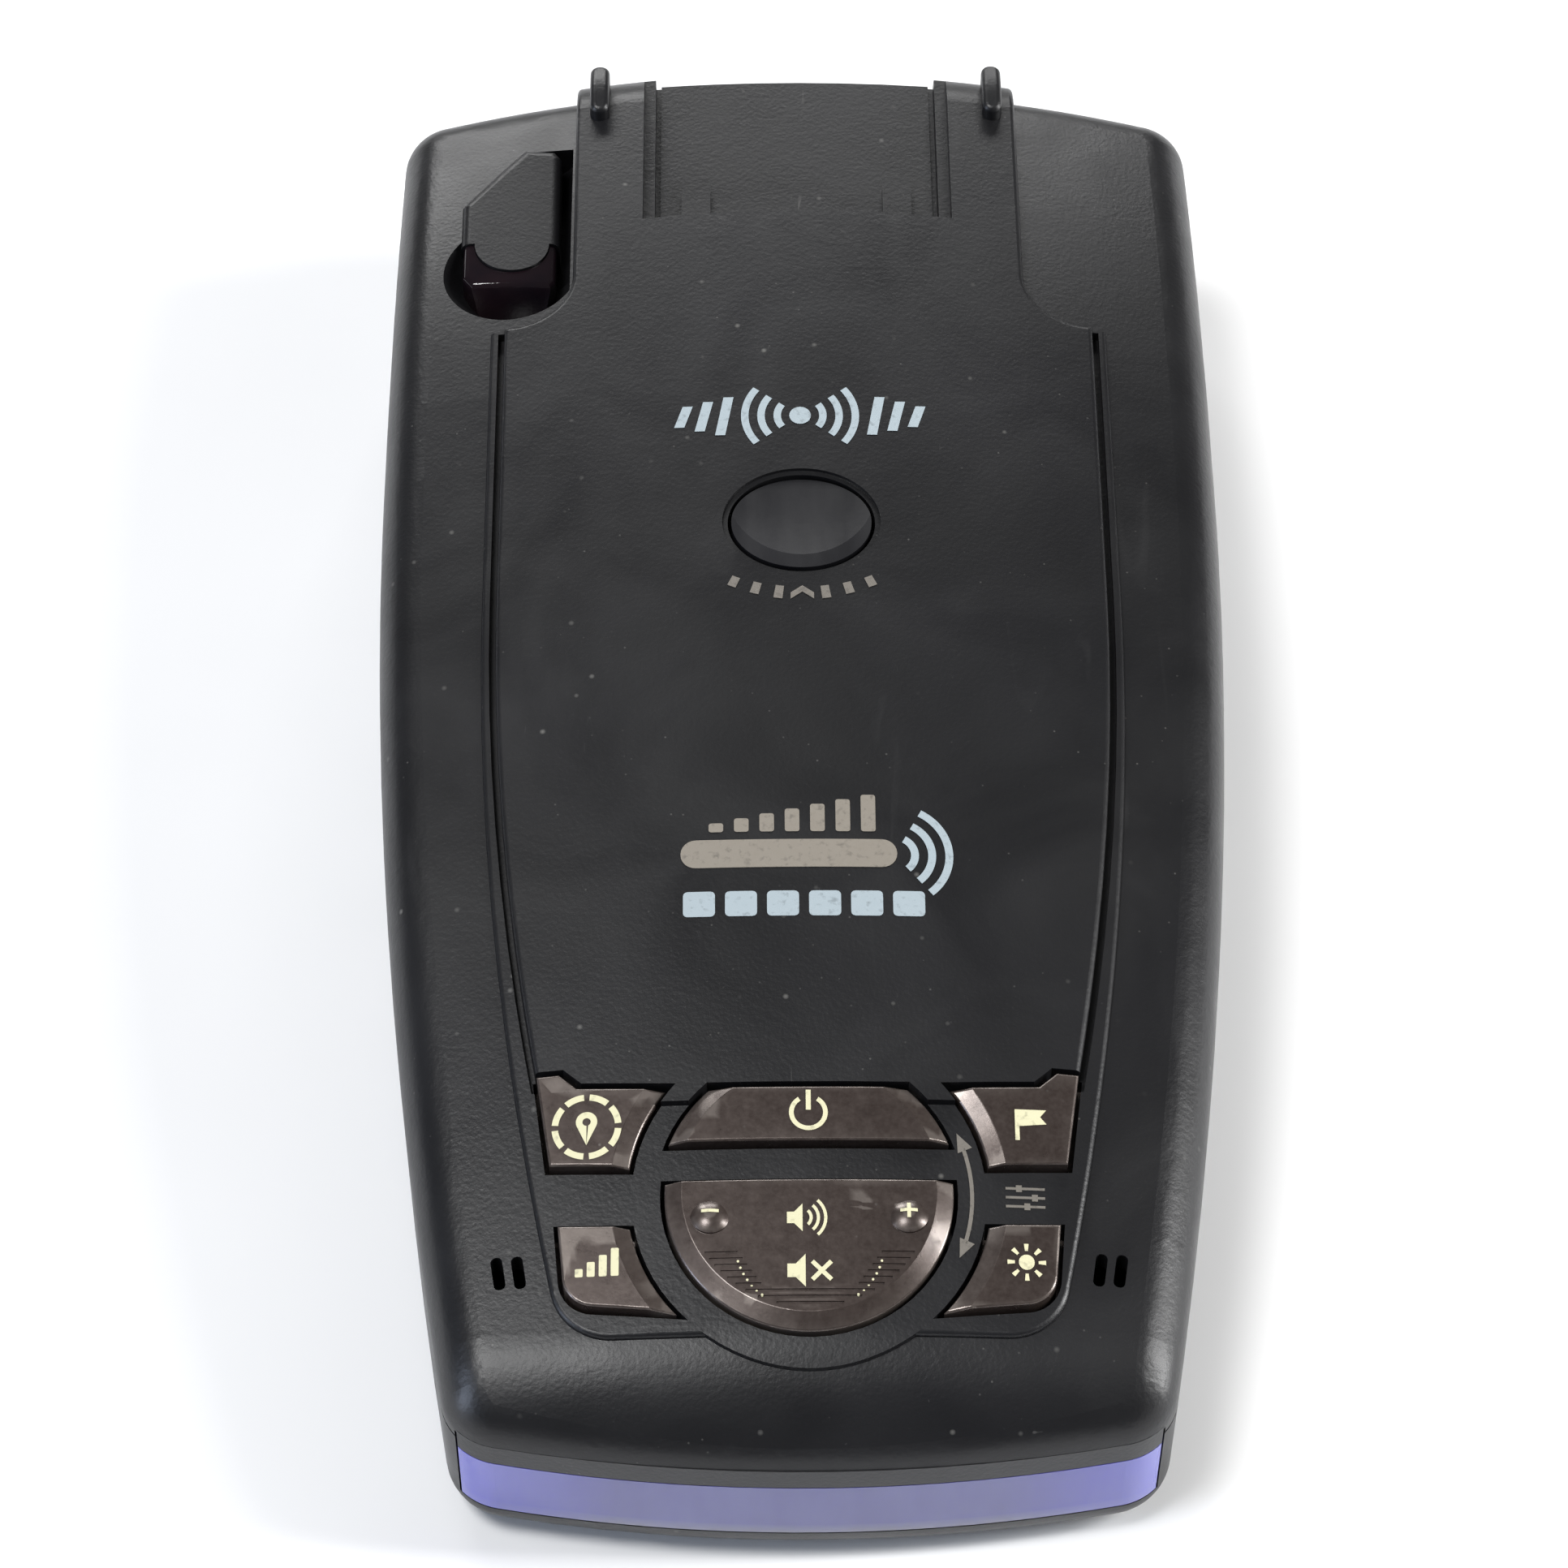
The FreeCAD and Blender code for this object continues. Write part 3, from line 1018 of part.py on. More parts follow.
def earphone_jack():
    half = 3.2
    x0 = socket_face_x(PHONE_Y - half)
    body = box(x0, x0 + 12, PHONE_Y - half, PHONE_Y + half, PHONE_Z - 2.8, BOARD_Z)
    nose = cyl(PHONE_R + 1.0, WALL - 0.4, x0 - WALL + 0.4, PHONE_Y, PHONE_Z, X_AXIS)
    return fuse_all([body, nose]).cut(cyl(PHONE_R, 10.4 + WALL, x0 - WALL, PHONE_Y, PHONE_Z, X_AXIS))


# ---- laser sensors ------------------------------------------------------------------------------
def front_laser_sensor():
    y1 = HALF_L - 6
    board = box(LASER_X - 6.5, LASER_X + 6.5, y1 - 4.0, y1 - 3.0, LASER_Z - 5, LASER_Z + 5)
    return board.fuse(box(LASER_X - 3, LASER_X + 3, y1 - 3.0, y1, LASER_Z - 3, LASER_Z + 3)).removeSplitter()


def rear_laser_sensor():
    z1 = SCOOP_FLOOR_Z - 4.0
    board = box(SCOOP_X - 3.2, SCOOP_X + 3.8, POD_SEAM_Y - 4.9, POD_SEAM_Y + 2.1, z1 - 2.4, z1 - 1.4)
    sensor = box(SCOOP_X - 2.2, SCOOP_X + 2.6, POD_SEAM_Y - 3.2, POD_SEAM_Y + 0.4, z1 - 1.4, z1)
    return board.fuse(sensor).removeSplitter()


# ---- fasteners and label ------------------------------------------------------------------------
def case_screws():
    solids = []
    for x, y in SCREW_POINTS:
        head_z = HEAD_SEAT_Z - HEAD_H
        head = cyl(SCREW_HEAD_R, HEAD_H, x, y, head_z)
        screw = fuse_all([head, cyl(SCREW_R, SCREW_TOP_Z - HEAD_SEAT_Z, x, y, HEAD_SEAT_Z)])
        slot = box(x - 1.1, x + 1.1, y - 0.3, y + 0.3, 0, head_z + 0.8)
        cross = box(x - 0.3, x + 0.3, y - 1.1, y + 1.1, 0, head_z + 0.8)
        solids += both(screw.cut([slot, cross]))
    return Part.makeCompound([s.Solids[0] for s in solids])


def board_screws():
    solids = []
    for x, y in board_screw_points():
        z = BOARD_Z + BOARD_T
        screw = fuse_all([cyl(1.5, 0.9, x, y, z), cyl(0.7, BOARD_T + 3.6, x, y, z - BOARD_T - 3.6)])
        solids.append(screw)
    return Part.makeCompound([s.Solids[0] for s in solids])


def rating_label():
    return label_blank()


SUB_PARTS = {
    "top_case": top_case,
    "bottom_case": bottom_case,
    "display_window": display_window,
    "antenna_cover": antenna_cover,
    "front_laser_lens": front_laser_lens,
    "rear_laser_lens": rear_laser_lens,
    "power_button": lambda: push_key("power_button"),
    "gps_button": lambda: push_key("gps_button"),
    "mark_button": lambda: push_key("mark_button"),
    "sensitivity_button": lambda: push_key("sensitivity_button"),
    "brightness_button": lambda: push_key("brightness_button"),
    "volume_mute_key": volume_mute_key,
    "rocker_pivot": rocker_pivot,
    "rocker_bracket": rocker_bracket,
    "release_button": release_button,
    "release_latch": release_latch,
    "latch_pin": latch_pin,
    "release_spring": release_spring,
    "keypad_mat": keypad_mat,
    "key_switches": key_switches,
    "main_board": main_board,
    "display_board": display_board,
    "display_module": display_module,
    "board_header": board_header,
    "horn_antenna": horn_antenna,
    "rf_shield": rf_shield,
    "gps_antenna": gps_antenna,
    "speaker": speaker,
    "speaker_gasket": speaker_gasket,
    "power_jack": power_jack,
    "earphone_jack": earphone_jack,
    "usb_jack": usb_jack,
    "front_laser_sensor": front_laser_sensor,
    "rear_laser_sensor": rear_laser_sensor,
    "case_screws": case_screws,
    "board_screws": board_screws,
    "rating_label": rating_label,
}

os.makedirs("parts", exist_ok=True)
for node, make in SUB_PARTS.items():
    make().exportStep("parts/" + node + ".step")
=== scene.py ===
import json
import math

import bmesh
import bpy
from mathutils import Matrix, Vector
from mathutils.bvhtree import BVHTree


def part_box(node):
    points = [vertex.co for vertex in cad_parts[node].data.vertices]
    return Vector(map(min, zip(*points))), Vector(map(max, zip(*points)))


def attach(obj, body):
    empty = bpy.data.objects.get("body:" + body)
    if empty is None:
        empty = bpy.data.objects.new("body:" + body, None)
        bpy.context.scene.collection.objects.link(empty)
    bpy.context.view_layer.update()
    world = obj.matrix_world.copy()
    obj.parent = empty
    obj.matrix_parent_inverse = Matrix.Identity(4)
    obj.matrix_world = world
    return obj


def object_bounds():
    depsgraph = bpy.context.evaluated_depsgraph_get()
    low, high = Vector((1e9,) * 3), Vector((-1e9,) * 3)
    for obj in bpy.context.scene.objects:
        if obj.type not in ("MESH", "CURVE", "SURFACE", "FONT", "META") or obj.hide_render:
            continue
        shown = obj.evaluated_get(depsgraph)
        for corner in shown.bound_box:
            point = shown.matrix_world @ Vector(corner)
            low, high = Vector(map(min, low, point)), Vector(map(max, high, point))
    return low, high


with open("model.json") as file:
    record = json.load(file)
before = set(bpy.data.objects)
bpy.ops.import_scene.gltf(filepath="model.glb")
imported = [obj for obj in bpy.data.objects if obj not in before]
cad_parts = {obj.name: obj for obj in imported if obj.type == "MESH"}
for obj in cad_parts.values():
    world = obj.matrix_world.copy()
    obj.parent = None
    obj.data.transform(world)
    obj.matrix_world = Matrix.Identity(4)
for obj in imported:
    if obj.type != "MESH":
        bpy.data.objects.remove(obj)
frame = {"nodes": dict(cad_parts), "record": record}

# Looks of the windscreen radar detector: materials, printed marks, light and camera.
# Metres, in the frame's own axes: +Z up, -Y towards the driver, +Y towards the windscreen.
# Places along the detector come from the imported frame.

CAD_BOX = [list(corner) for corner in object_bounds()]
NODES = frame["nodes"]
MM = 0.001
WHITE = (1.0, 1.0, 1.0)


def far_y(node):
    """Y of a node's edge on the windscreen side."""
    return Vector(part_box(node)[1]).y


def near_y(node):
    """Y of a node's edge on the driver's side."""
    return Vector(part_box(node)[0]).y


# ---- stations read from the frame ---------------------------------------------------------------
LOW, HIGH = (Vector(corner) for corner in CAD_BOX)
RELEASE_Y = (near_y("release_button") + far_y("release_button")) / 2
DISC_Y = far_y("volume_mute_key") - 0.9 * MM    # centre of the half-disc key's arc


# ---- camera -------------------------------------------------------------------------------------
CAMERA_TARGET = Vector((-1.466, -2.599, 14.0)) * MM
CAMERA_DISTANCE = 0.4
CAMERA_ELEVATION, CAMERA_AZIMUTH, CAMERA_ROLL = 53.016, -0.936, 0.556    # degrees
CAMERA_LENS, CAMERA_SENSOR = 111.2, 36.0                                 # millimetres


def make_camera():
    """Looks down at the detector from the driver's side, rolled a little."""
    elevation, azimuth, roll = (math.radians(a) for a in (CAMERA_ELEVATION, CAMERA_AZIMUTH, CAMERA_ROLL))
    back = Vector((math.sin(azimuth) * math.cos(elevation), -math.cos(azimuth) * math.cos(elevation),
                   math.sin(elevation)))
    right = Vector((math.cos(azimuth), math.sin(azimuth), 0.0))
    up = back.cross(right)
    turned = right * math.cos(roll) + up * math.sin(roll)
    up = up * math.cos(roll) - right * math.sin(roll)
    data = bpy.data.cameras.new("camera")
    data.sensor_width = CAMERA_SENSOR
    data.lens = CAMERA_LENS
    data.clip_start, data.clip_end = 0.01, 10.0
    camera = bpy.data.objects.new("camera", data)
    bpy.context.scene.collection.objects.link(camera)
    place = Matrix((turned, up, back)).transposed().to_4x4()
    place.translation = CAMERA_TARGET + back * CAMERA_DISTANCE
    camera.matrix_world = place
    bpy.context.scene.camera = camera


make_camera()


# ---- material building blocks -------------------------------------------------------------------
class Recipe:
    """A node material: a principled shader fed by procedural colour, roughness and bump."""

    def __init__(self, name, colour, roughness, **sockets):
        self.material = bpy.data.materials.new(name)
        self.material.use_nodes = True
        self.tree = self.material.node_tree
        self.shader = self.tree.nodes["Principled BSDF"]
        self.shader.inputs["Roughness"].default_value = roughness
        self.shader.inputs["Base Color"].default_value = (*colour, 1.0)
        for socket, value in sockets.items():
            self.shader.inputs[socket.replace("_", " ")].default_value = value
        self.place = self.node("ShaderNodeTexCoord").outputs["Object"]
        self.normal = None

    def node(self, kind, **settings):
        """A new node with some of its properties set."""
        made = self.tree.nodes.new(kind)
        for name, value in settings.items():
            setattr(made, name, value)
        return made

    def join(self, out, into):
        """Links an output to an input."""
        self.tree.links.new(out, into)

    def noise(self, size_mm, detail=3.0, stretch=(1, 1, 1), distortion=0.0):
        """Noise with features of about size_mm."""
        scale = self.node("ShaderNodeMapping")
        scale.inputs["Scale"].default_value = [s / (size_mm * MM) for s in stretch]
        self.join(self.place, scale.inputs["Vector"])
        made = self.node("ShaderNodeTexNoise")
        made.inputs["Scale"].default_value = 1.0
        made.inputs["Detail"].default_value = detail
        made.inputs["Distortion"].default_value = distortion
        self.join(scale.outputs["Vector"], made.inputs["Vector"])
        return made.outputs["Fac"]

    def cells(self, size_mm):
        """Distance to the nearest of many scattered points about size_mm apart."""
        scale = self.node("ShaderNodeMapping")
        scale.inputs["Scale"].default_value = [1 / (size_mm * MM)] * 3
        self.join(self.place, scale.inputs["Vector"])
        made = self.node("ShaderNodeTexVoronoi")
        made.inputs["Scale"].default_value = 1.0
        self.join(scale.outputs["Vector"], made.inputs["Vector"])
        return made.outputs["Distance"]

    def ramp(self, value, low, high, out_low=0.0, out_high=1.0):
        """value stretched from low..high to out_low..out_high, and held at the ends."""
        made = self.node("ShaderNodeMapRange")
        made.inputs["From Min"].default_value = low
        made.inputs["From Max"].default_value = high
        made.inputs["To Min"].default_value = out_low
        made.inputs["To Max"].default_value = out_high
        self.join(value, made.inputs["Value"])
        return made.outputs["Result"]

    def maths(self, operation, a, b):
        """A Math node's result for two values, each a number or an output."""
        made = self.node("ShaderNodeMath", operation=operation)
        for value, socket in ((a, made.inputs[0]), (b, made.inputs[1])):
            if isinstance(value, (int, float)):
                socket.default_value = value
            else:
                self.join(value, socket)
        return made.outputs["Value"]

    def mix(self, factor, a, b):
        """Colour a where factor is 0 and b where it is 1."""
        made = self.node("ShaderNodeMix", data_type="RGBA")
        for value, name in ((factor, "Factor"), (a, "A"), (b, "B")):
            socket = [s for s in made.inputs if s.name == name and s.enabled][0]
            if hasattr(value, "is_linked"):
                self.join(value, socket)
            elif name == "Factor":
                socket.default_value = value
            else:
                socket.default_value = (*value, 1.0)
        return [s for s in made.outputs if s.enabled][0]

    def colour(self, out):
        self.join(out, self.shader.inputs["Base Color"])

    def rough(self, out):
        self.join(out, self.shader.inputs["Roughness"])

    def bump(self, height, depth_mm, strength=1.0):
        """Adds a relief to those already on the surface."""
        made = self.node("ShaderNodeBump")
        made.inputs["Strength"].default_value = strength
        made.inputs["Distance"].default_value = depth_mm * MM
        self.join(height, made.inputs["Height"])
        if self.normal is not None:
            self.join(self.normal, made.inputs["Normal"])
        self.normal = made.outputs["Normal"]
        self.join(self.normal, self.shader.inputs["Normal"])

    def along(self, axis):
        """The position along X, Y or Z in metres."""
        made = self.node("ShaderNodeSeparateXYZ")
        self.join(self.place, made.inputs["Vector"])
        return made.outputs[axis]

    def painted_edge_highlight(self):
        """1 on convex edges, 0 on flat surfaces: the mask of a painted highlight along edges."""
        made = self.node("ShaderNodeNewGeometry")
        return self.ramp(made.outputs["Pointiness"], 0.505, 0.56)

    def dust(self, size_mm, amount):
        """1 on sparse specks."""
        near = self.cells(size_mm)
        thin = self.ramp(near, 0.02, 0.085, 1.0, 0.0)
        patchy = self.ramp(self.noise(size_mm * 6, 2.0), 0.45, 0.62)
        return self.maths("MULTIPLY", self.maths("MULTIPLY", thin, patchy), amount)


DUST_TINT = (0.22, 0.215, 0.20)
FIBRE_TINT = (0.13, 0.13, 0.13)
SCRATCH_TINT = (0.16, 0.155, 0.15)


def grained(name, base, tint, roughness, grain_mm, grain_depth, dusty=0.5, specular=0.5):
    """Moulded plastic: fine spark-eroded grain, slight colour drift, dust and handling marks."""
    r = Recipe(name, base, roughness, Specular_IOR_Level=specular)
    drift = r.ramp(r.noise(22.0, 4.0), 0.3, 0.7)
    colour = r.mix(drift, base, tint)
    specks = r.maths("MAXIMUM", r.dust(3.2, dusty), r.dust(1.3, dusty * 0.6))
    fibres = r.ramp(r.noise(5.0, 3.0, (1.0, 0.16, 1.0), 1.5), 0.66, 0.78, 0.0, dusty * 0.10)
    colour = r.mix(specks, colour, DUST_TINT)
    colour = r.mix(fibres, colour, FIBRE_TINT)
    scratch = r.maths("MULTIPLY", r.ramp(r.noise(2.2, 2.0, (1.0, 0.05, 1.0), 2.2), 0.735, 0.76),
                      r.ramp(r.noise(11.0, 2.0), 0.5, 0.6, 0.0, dusty * 0.5))
    smudge = r.ramp(r.noise(14.0, 5.0, distortion=0.8), 0.3, 0.75, roughness - 0.05, roughness + 0.07)
    r.colour(r.mix(scratch, colour, SCRATCH_TINT))
    r.rough(smudge)
    r.bump(r.noise(grain_mm, 4.0), grain_depth)
    r.bump(r.noise(grain_mm * 4.5, 2.0), grain_depth * 1.2, 0.5)
    return r.material


def case_plastic():
    """Near-black plastic of the two case halves."""
    return grained("case_plastic_grain", (0.0055, 0.0055, 0.0062), (0.0085, 0.0085, 0.0098), 0.38, 0.35,
                   0.022, specular=0.42)


def inner_plastic():
    """Plain black plastic of the pieces inside, with no dust."""
    return grained("plain_black_plastic", (0.03, 0.03, 0.031), (0.04, 0.04, 0.041), 0.5, 0.5, 0.012, 0.0)


def smooth_black():
    """Black plastic with a smoother finish than the case's."""
    r = Recipe("smooth_black_plastic", (0.008, 0.008, 0.009), 0.36, Specular_IOR_Level=0.4)
    drift = r.ramp(r.noise(9.0, 4.0), 0.3, 0.7)
    r.colour(r.mix(drift, (0.007, 0.007, 0.008), (0.011, 0.011, 0.013)))
    r.rough(r.ramp(r.noise(3.0, 5.0, (1, 0.3, 1)), 0.35, 0.7, 0.32, 0.44))
    r.bump(r.noise(0.6, 3.0), 0.004)
    return r.material


def smoked_lens():
    """Glossy, nearly black lens plastic."""
    r = Recipe("smoked_lens_plastic", (0.004, 0.003, 0.004), 0.1, Specular_IOR_Level=0.5,
               Coat_Weight=0.2, Coat_Roughness=0.05)
    r.colour(r.mix(r.ramp(r.noise(4.0), 0.3, 0.7), (0.005, 0.003, 0.005), (0.012, 0.006, 0.008)))
    r.rough(r.ramp(r.noise(2.5, 4.0), 0.35, 0.75, 0.05, 0.12))
    r.bump(r.noise(6.0, 2.0), 0.01, 0.4)
    return r.material


def key_bronze():
    """Satin bronze-grey paint: fine metallic mottle, darker worn patches, and convex edges lightened as a
    painted highlight.
    """
    r = Recipe("key_bronze_paint", (0.075, 0.062, 0.056), 0.3, Metallic=0.55, Specular_IOR_Level=0.5,
               Coat_Weight=0.25, Coat_Roughness=0.2)
    mottle = r.ramp(r.noise(1.6, 5.0), 0.3, 0.72)
    fine = r.ramp(r.noise(0.35, 3.0), 0.35, 0.7)
    colour = r.mix(mottle, (0.050, 0.036, 0.031), (0.064, 0.048, 0.042))
    colour = r.mix(r.maths("MULTIPLY", fine, 0.45), colour, (0.098, 0.078, 0.069))
    blotch = r.ramp(r.noise(5.5, 3.0, distortion=1.0), 0.5, 0.8, 0.0, 0.25)
    colour = r.mix(blotch, colour, (0.034, 0.024, 0.021))
    # painted highlight: convex key edges lightened to pale bronze, standing in for glints on the bevels
    colour = r.mix(r.maths("MULTIPLY", r.painted_edge_highlight(), 0.35), colour, (0.33, 0.29, 0.26))
    r.colour(r.mix(r.dust(1.7, 0.35), colour, (0.35, 0.34, 0.32)))
    r.rough(r.ramp(r.noise(1.1, 5.0), 0.3, 0.75, 0.26, 0.36))
    r.bump(r.noise(0.22, 3.0), 0.004)
    return r.material


def tinted_lens():
    """Violet-blue clear plastic, slightly milky, brighter towards its ends."""
    r = Recipe("tinted_lens_plastic", (0.20, 0.20, 0.62), 0.12, Specular_IOR_Level=0.5,
               Transmission_Weight=0.35, IOR=1.49, Coat_Weight=0.6, Coat_Roughness=0.05)
    z = r.along("Z")
    low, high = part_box("display_window")
    up = r.ramp(z, low[2], high[2])
    colour = r.mix(r.ramp(up, 0.08, 0.2), (0.25, 0.25, 0.33), (0.10, 0.10, 0.38))
    x = r.node("ShaderNodeMath", operation="ABSOLUTE")
    r.join(r.along("X"), x.inputs[0])
    ends = r.ramp(x.outputs[0], high[0] * 0.55, high[0], 0.0, 0.75)
    colour = r.mix(ends, colour, (0.13, 0.13, 0.85))
    streak = r.ramp(r.noise(7.0, 3.0, (1, 1, 0.3)), 0.4, 0.7, 0.0, 0.35)
    r.colour(r.mix(streak, colour, (0.20, 0.21, 0.55)))
    r.rough(r.ramp(r.noise(1.5, 4.0), 0.3, 0.75, 0.08, 0.2))
    r.bump(r.noise(3.0, 3.0), 0.01, 0.3)
    return r.material


def metal(name, colour, roughness, size_mm, stretch=(1, 1, 1), metallic=1.0):
    """Metal with drifting tone and tool marks of about size_mm."""
    r = Recipe(name, colour, roughness, Metallic=metallic)
    darker = tuple(c * 0.72 for c in colour)
    r.colour(r.mix(r.ramp(r.noise(size_mm * 3, 4.0), 0.3, 0.72), darker, colour))
    r.rough(r.ramp(r.noise(size_mm, 4.0, stretch), 0.3, 0.72, roughness - 0.08, roughness + 0.12))
    r.bump(r.noise(size_mm, 4.0, stretch), 0.006)
    return r.material


def rubbery(name, colour, roughness, grain_mm):
    """Matt rubber or foam."""
    r = Recipe(name, colour, roughness, Specular_IOR_Level=0.3, Sheen_Weight=0.15)
    lighter = tuple(min(c * 1.5 + 0.01, 1.0) for c in colour)
    r.colour(r.mix(r.ramp(r.noise(grain_mm * 5, 3.0), 0.35, 0.7), colour, lighter))
    r.rough(r.ramp(r.noise(grain_mm, 3.0), 0.3, 0.7, roughness - 0.08, roughness + 0.08))
    r.bump(r.noise(grain_mm, 4.0), 0.03)
    return r.material


def board_green():
    """Solder mask over copper tracks."""
    r = Recipe("solder_mask", (0.02, 0.13, 0.05), 0.32, Coat_Weight=0.4, Coat_Roughness=0.12)
    bricks_per_metre = 220
    tracks = r.node("ShaderNodeTexBrick")
    scale = r.node("ShaderNodeMapping")
    scale.inputs["Scale"].default_value = [bricks_per_metre] * 3
    r.join(r.place, scale.inputs["Vector"])
    r.join(scale.outputs["Vector"], tracks.inputs["Vector"])
    tracks.inputs["Mortar Size"].default_value = 0.035
    r.colour(r.mix(tracks.outputs["Fac"], (0.018, 0.115, 0.045), (0.05, 0.22, 0.08)))
    r.rough(r.ramp(r.noise(3.0), 0.3, 0.7, 0.25, 0.42))
    r.bump(tracks.outputs["Fac"], 0.03)
    return r.material


def ceramic():
    """Tan ceramic with a plated top."""
    r = Recipe("patch_ceramic", (0.62, 0.56, 0.46), 0.5)
    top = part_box("gps_antenna")[1][2]
    plated = r.ramp(r.along("Z"), top - 0.12 * MM, top - 0.1 * MM)
    body = r.mix(r.ramp(r.noise(2.0, 4.0), 0.3, 0.7), (0.56, 0.50, 0.41), (0.66, 0.60, 0.50))
    r.colour(r.mix(plated, body, (0.78, 0.77, 0.74)))
    r.join(plated, r.shader.inputs["Metallic"])
    r.rough(r.ramp(r.noise(1.0), 0.3, 0.7, 0.35, 0.55))
    r.bump(r.noise(0.4, 3.0), 0.01)
    return r.material


def display_face():
    """Dark glass over a grid of unlit dots."""
    r = Recipe("display_glass", (0.02, 0.02, 0.035), 0.1, Specular_IOR_Level=0.6)
    dots = r.ramp(r.cells(0.55), 0.12, 0.2, 1.0, 0.0)
    r.colour(r.mix(r.maths("MULTIPLY", dots, 0.4), (0.012, 0.012, 0.022), (0.07, 0.06, 0.12)))
    r.rough(r.ramp(r.noise(4.0), 0.3, 0.7, 0.08, 0.18))
    r.bump(r.noise(5.0), 0.01, 0.3)
    return r.material


def label_film():
    """Brushed silver film of the blank rating label."""
    r = Recipe("label_film", (0.45, 0.45, 0.46), 0.42, Metallic=0.4)
    brushed = r.noise(0.5, 3.0, (0.05, 1, 1))
    r.colour(r.mix(r.ramp(brushed, 0.35, 0.65), (0.38, 0.38, 0.39), (0.52, 0.52, 0.53)))
    r.rough(r.ramp(brushed, 0.3, 0.7, 0.36, 0.5))
    r.bump(brushed, 0.004)
    return r.material


def ink(name, colour):
    """Pad-printed ink: slightly raised, with a few pinholes and worn spots."""
    r = Recipe(name, colour, 0.45)
    darker = tuple(c * 0.66 for c in colour)
    worn = r.ramp(r.noise(0.5, 4.0), 0.56, 0.74)
    r.colour(r.mix(worn, colour, darker))
    r.rough(r.ramp(r.noise(0.3, 3.0), 0.3, 0.7, 0.38, 0.55))
    r.bump(r.noise(0.15, 3.0), 0.006)
    return r.material


MATERIALS = {
    "case_plastic": case_plastic(),
    "inner_plastic": inner_plastic(),
    "smooth_black": smooth_black(),
    "smoked_lens": smoked_lens(),
    "key_bronze": key_bronze(),
    "tinted_lens": tinted_lens(),
    "bright_steel": metal("bright_steel_turned", (0.62, 0.61, 0.59), 0.3, 0.4),
    "cast_metal": metal("zinc_casting", (0.56, 0.56, 0.57), 0.48, 0.7),
    "tinned_steel": metal("tinned_sheet", (0.66, 0.66, 0.63), 0.34, 0.5, (1, 0.2, 1)),
    "speaker_metal": metal("speaker_lacquer", (0.05, 0.05, 0.055), 0.4, 0.8, metallic=0.3),
    "black_screw": metal("black_zinc", (0.09, 0.09, 0.095), 0.36, 0.3, metallic=0.8),
    "silicone": rubbery("grey_silicone", (0.26, 0.26, 0.27), 0.62, 0.5),
    "foam_black": rubbery("closed_cell_foam", (0.02, 0.02, 0.02), 0.85, 0.35),
    "board_green": board_green(),
    "display_face": display_face(),
    "ceramic": ceramic(),
    "label_film": label_film(),
}


def dress_nodes():
    """Gives each CAD node the material of its slot in the record."""
    for entry in frame["record"]["subparts"]:
        mesh = NODES[entry["node"]].data
        mesh.materials.clear()
        mesh.materials.append(MATERIALS[entry["material_slot"]])


dress_nodes()

# ---- printed marks ------------------------------------------------------------------------------
CREAM = ink("cream_ink", (0.66, 0.63, 0.41))
PALE_BLUE = ink("pale_grey_blue_ink", (0.34, 0.40, 0.43))
TAUPE = ink("taupe_ink", (0.23, 0.205, 0.17))
DIM = ink("dim_warm_grey_ink", (0.16, 0.145, 0.125))

LIFT = 0.03 * MM            # how far ink stands off its surface
INK_DEPTH = 0.02 * MM
MARK_EDGE = 0.9 * MM        # longest edge in a mark, so that it follows a curved surface
WELD = 1e-7
CUT_ROUNDS = 6              # each halves the long edges
RAY_HEIGHT = 0.01           # above the detector, where the rays down to a surface start
FULL_TURN = 359.9           # degrees, just short of a whole ring, whose ends would meet


class Surface:
    """Finds the top of some CAD nodes under a point."""

    def __init__(self, *nodes):
        verts, faces = [], []
        for node in nodes:
            mesh = NODES[node].data
            start = len(verts)
            verts += [v.co.copy() for v in mesh.vertices]
            faces += [[start + i for i in p.vertices] for p in mesh.polygons]
        self.tree = BVHTree.FromPolygons(verts, faces)

    def top(self, x, y):
        """Height of the surface at (x, y)."""
        hit = self.tree.ray_cast(Vector((x, y, HIGH.z + RAY_HEIGHT)), Vector((0, 0, -1)))
        return hit[0].z


def cut_up(bm, size):
    """Splits long edges, so that a flat mark can follow a curved surface."""
    for _ in range(CUT_ROUNDS):
        long_edges = [e for e in bm.edges if e.calc_length() > size]
        if not long_edges:
            return
        bmesh.ops.subdivide_edges(bm, edges=long_edges, cuts=1)
        bmesh.ops.triangulate(bm, faces=[f for f in bm.faces if len(f.verts) > 3])


def mark(name, outlines, surface, body, material):
    """A thin printed shape laid on a surface. outlines are closed lists of (x, y) in metres."""
    bm = bmesh.new()
    for points in outlines:
        bm.faces.new([bm.verts.new((x, y, 0.0)) for x, y in points])
    bm.normal_update()
    bmesh.ops.triangulate(bm, faces=bm.faces[:])
    lay(name, bm, surface, body, material)


def lay(name, bm, surface, body, material):
    """Drops a flat mark onto a surface, gives it a thickness and makes it a piece."""
    bmesh.ops.remove_doubles(bm, verts=bm.verts, dist=WELD)
    cut_up(bm, MARK_EDGE)
    for f in bm.faces:
        if f.normal.z < 0:
            f.normal_flip()
    for v in bm.verts:
        v.co.z = surface.top(v.co.x, v.co.y) + LIFT
    skirt = bmesh.ops.extrude_face_region(bm, geom=bm.faces[:], use_keep_orig=True)
    for v in (g for g in skirt["geom"] if isinstance(g, bmesh.types.BMVert)):
        v.co.z += INK_DEPTH
    bmesh.ops.recalc_face_normals(bm, faces=bm.faces[:])
    mesh = bpy.data.meshes.new(name)
    bm.to_mesh(mesh)
    bm.free()
    piece = bpy.data.objects.new(name, mesh)
    bpy.context.scene.collection.objects.link(piece)
    mesh.materials.append(material)
    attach(piece, body)


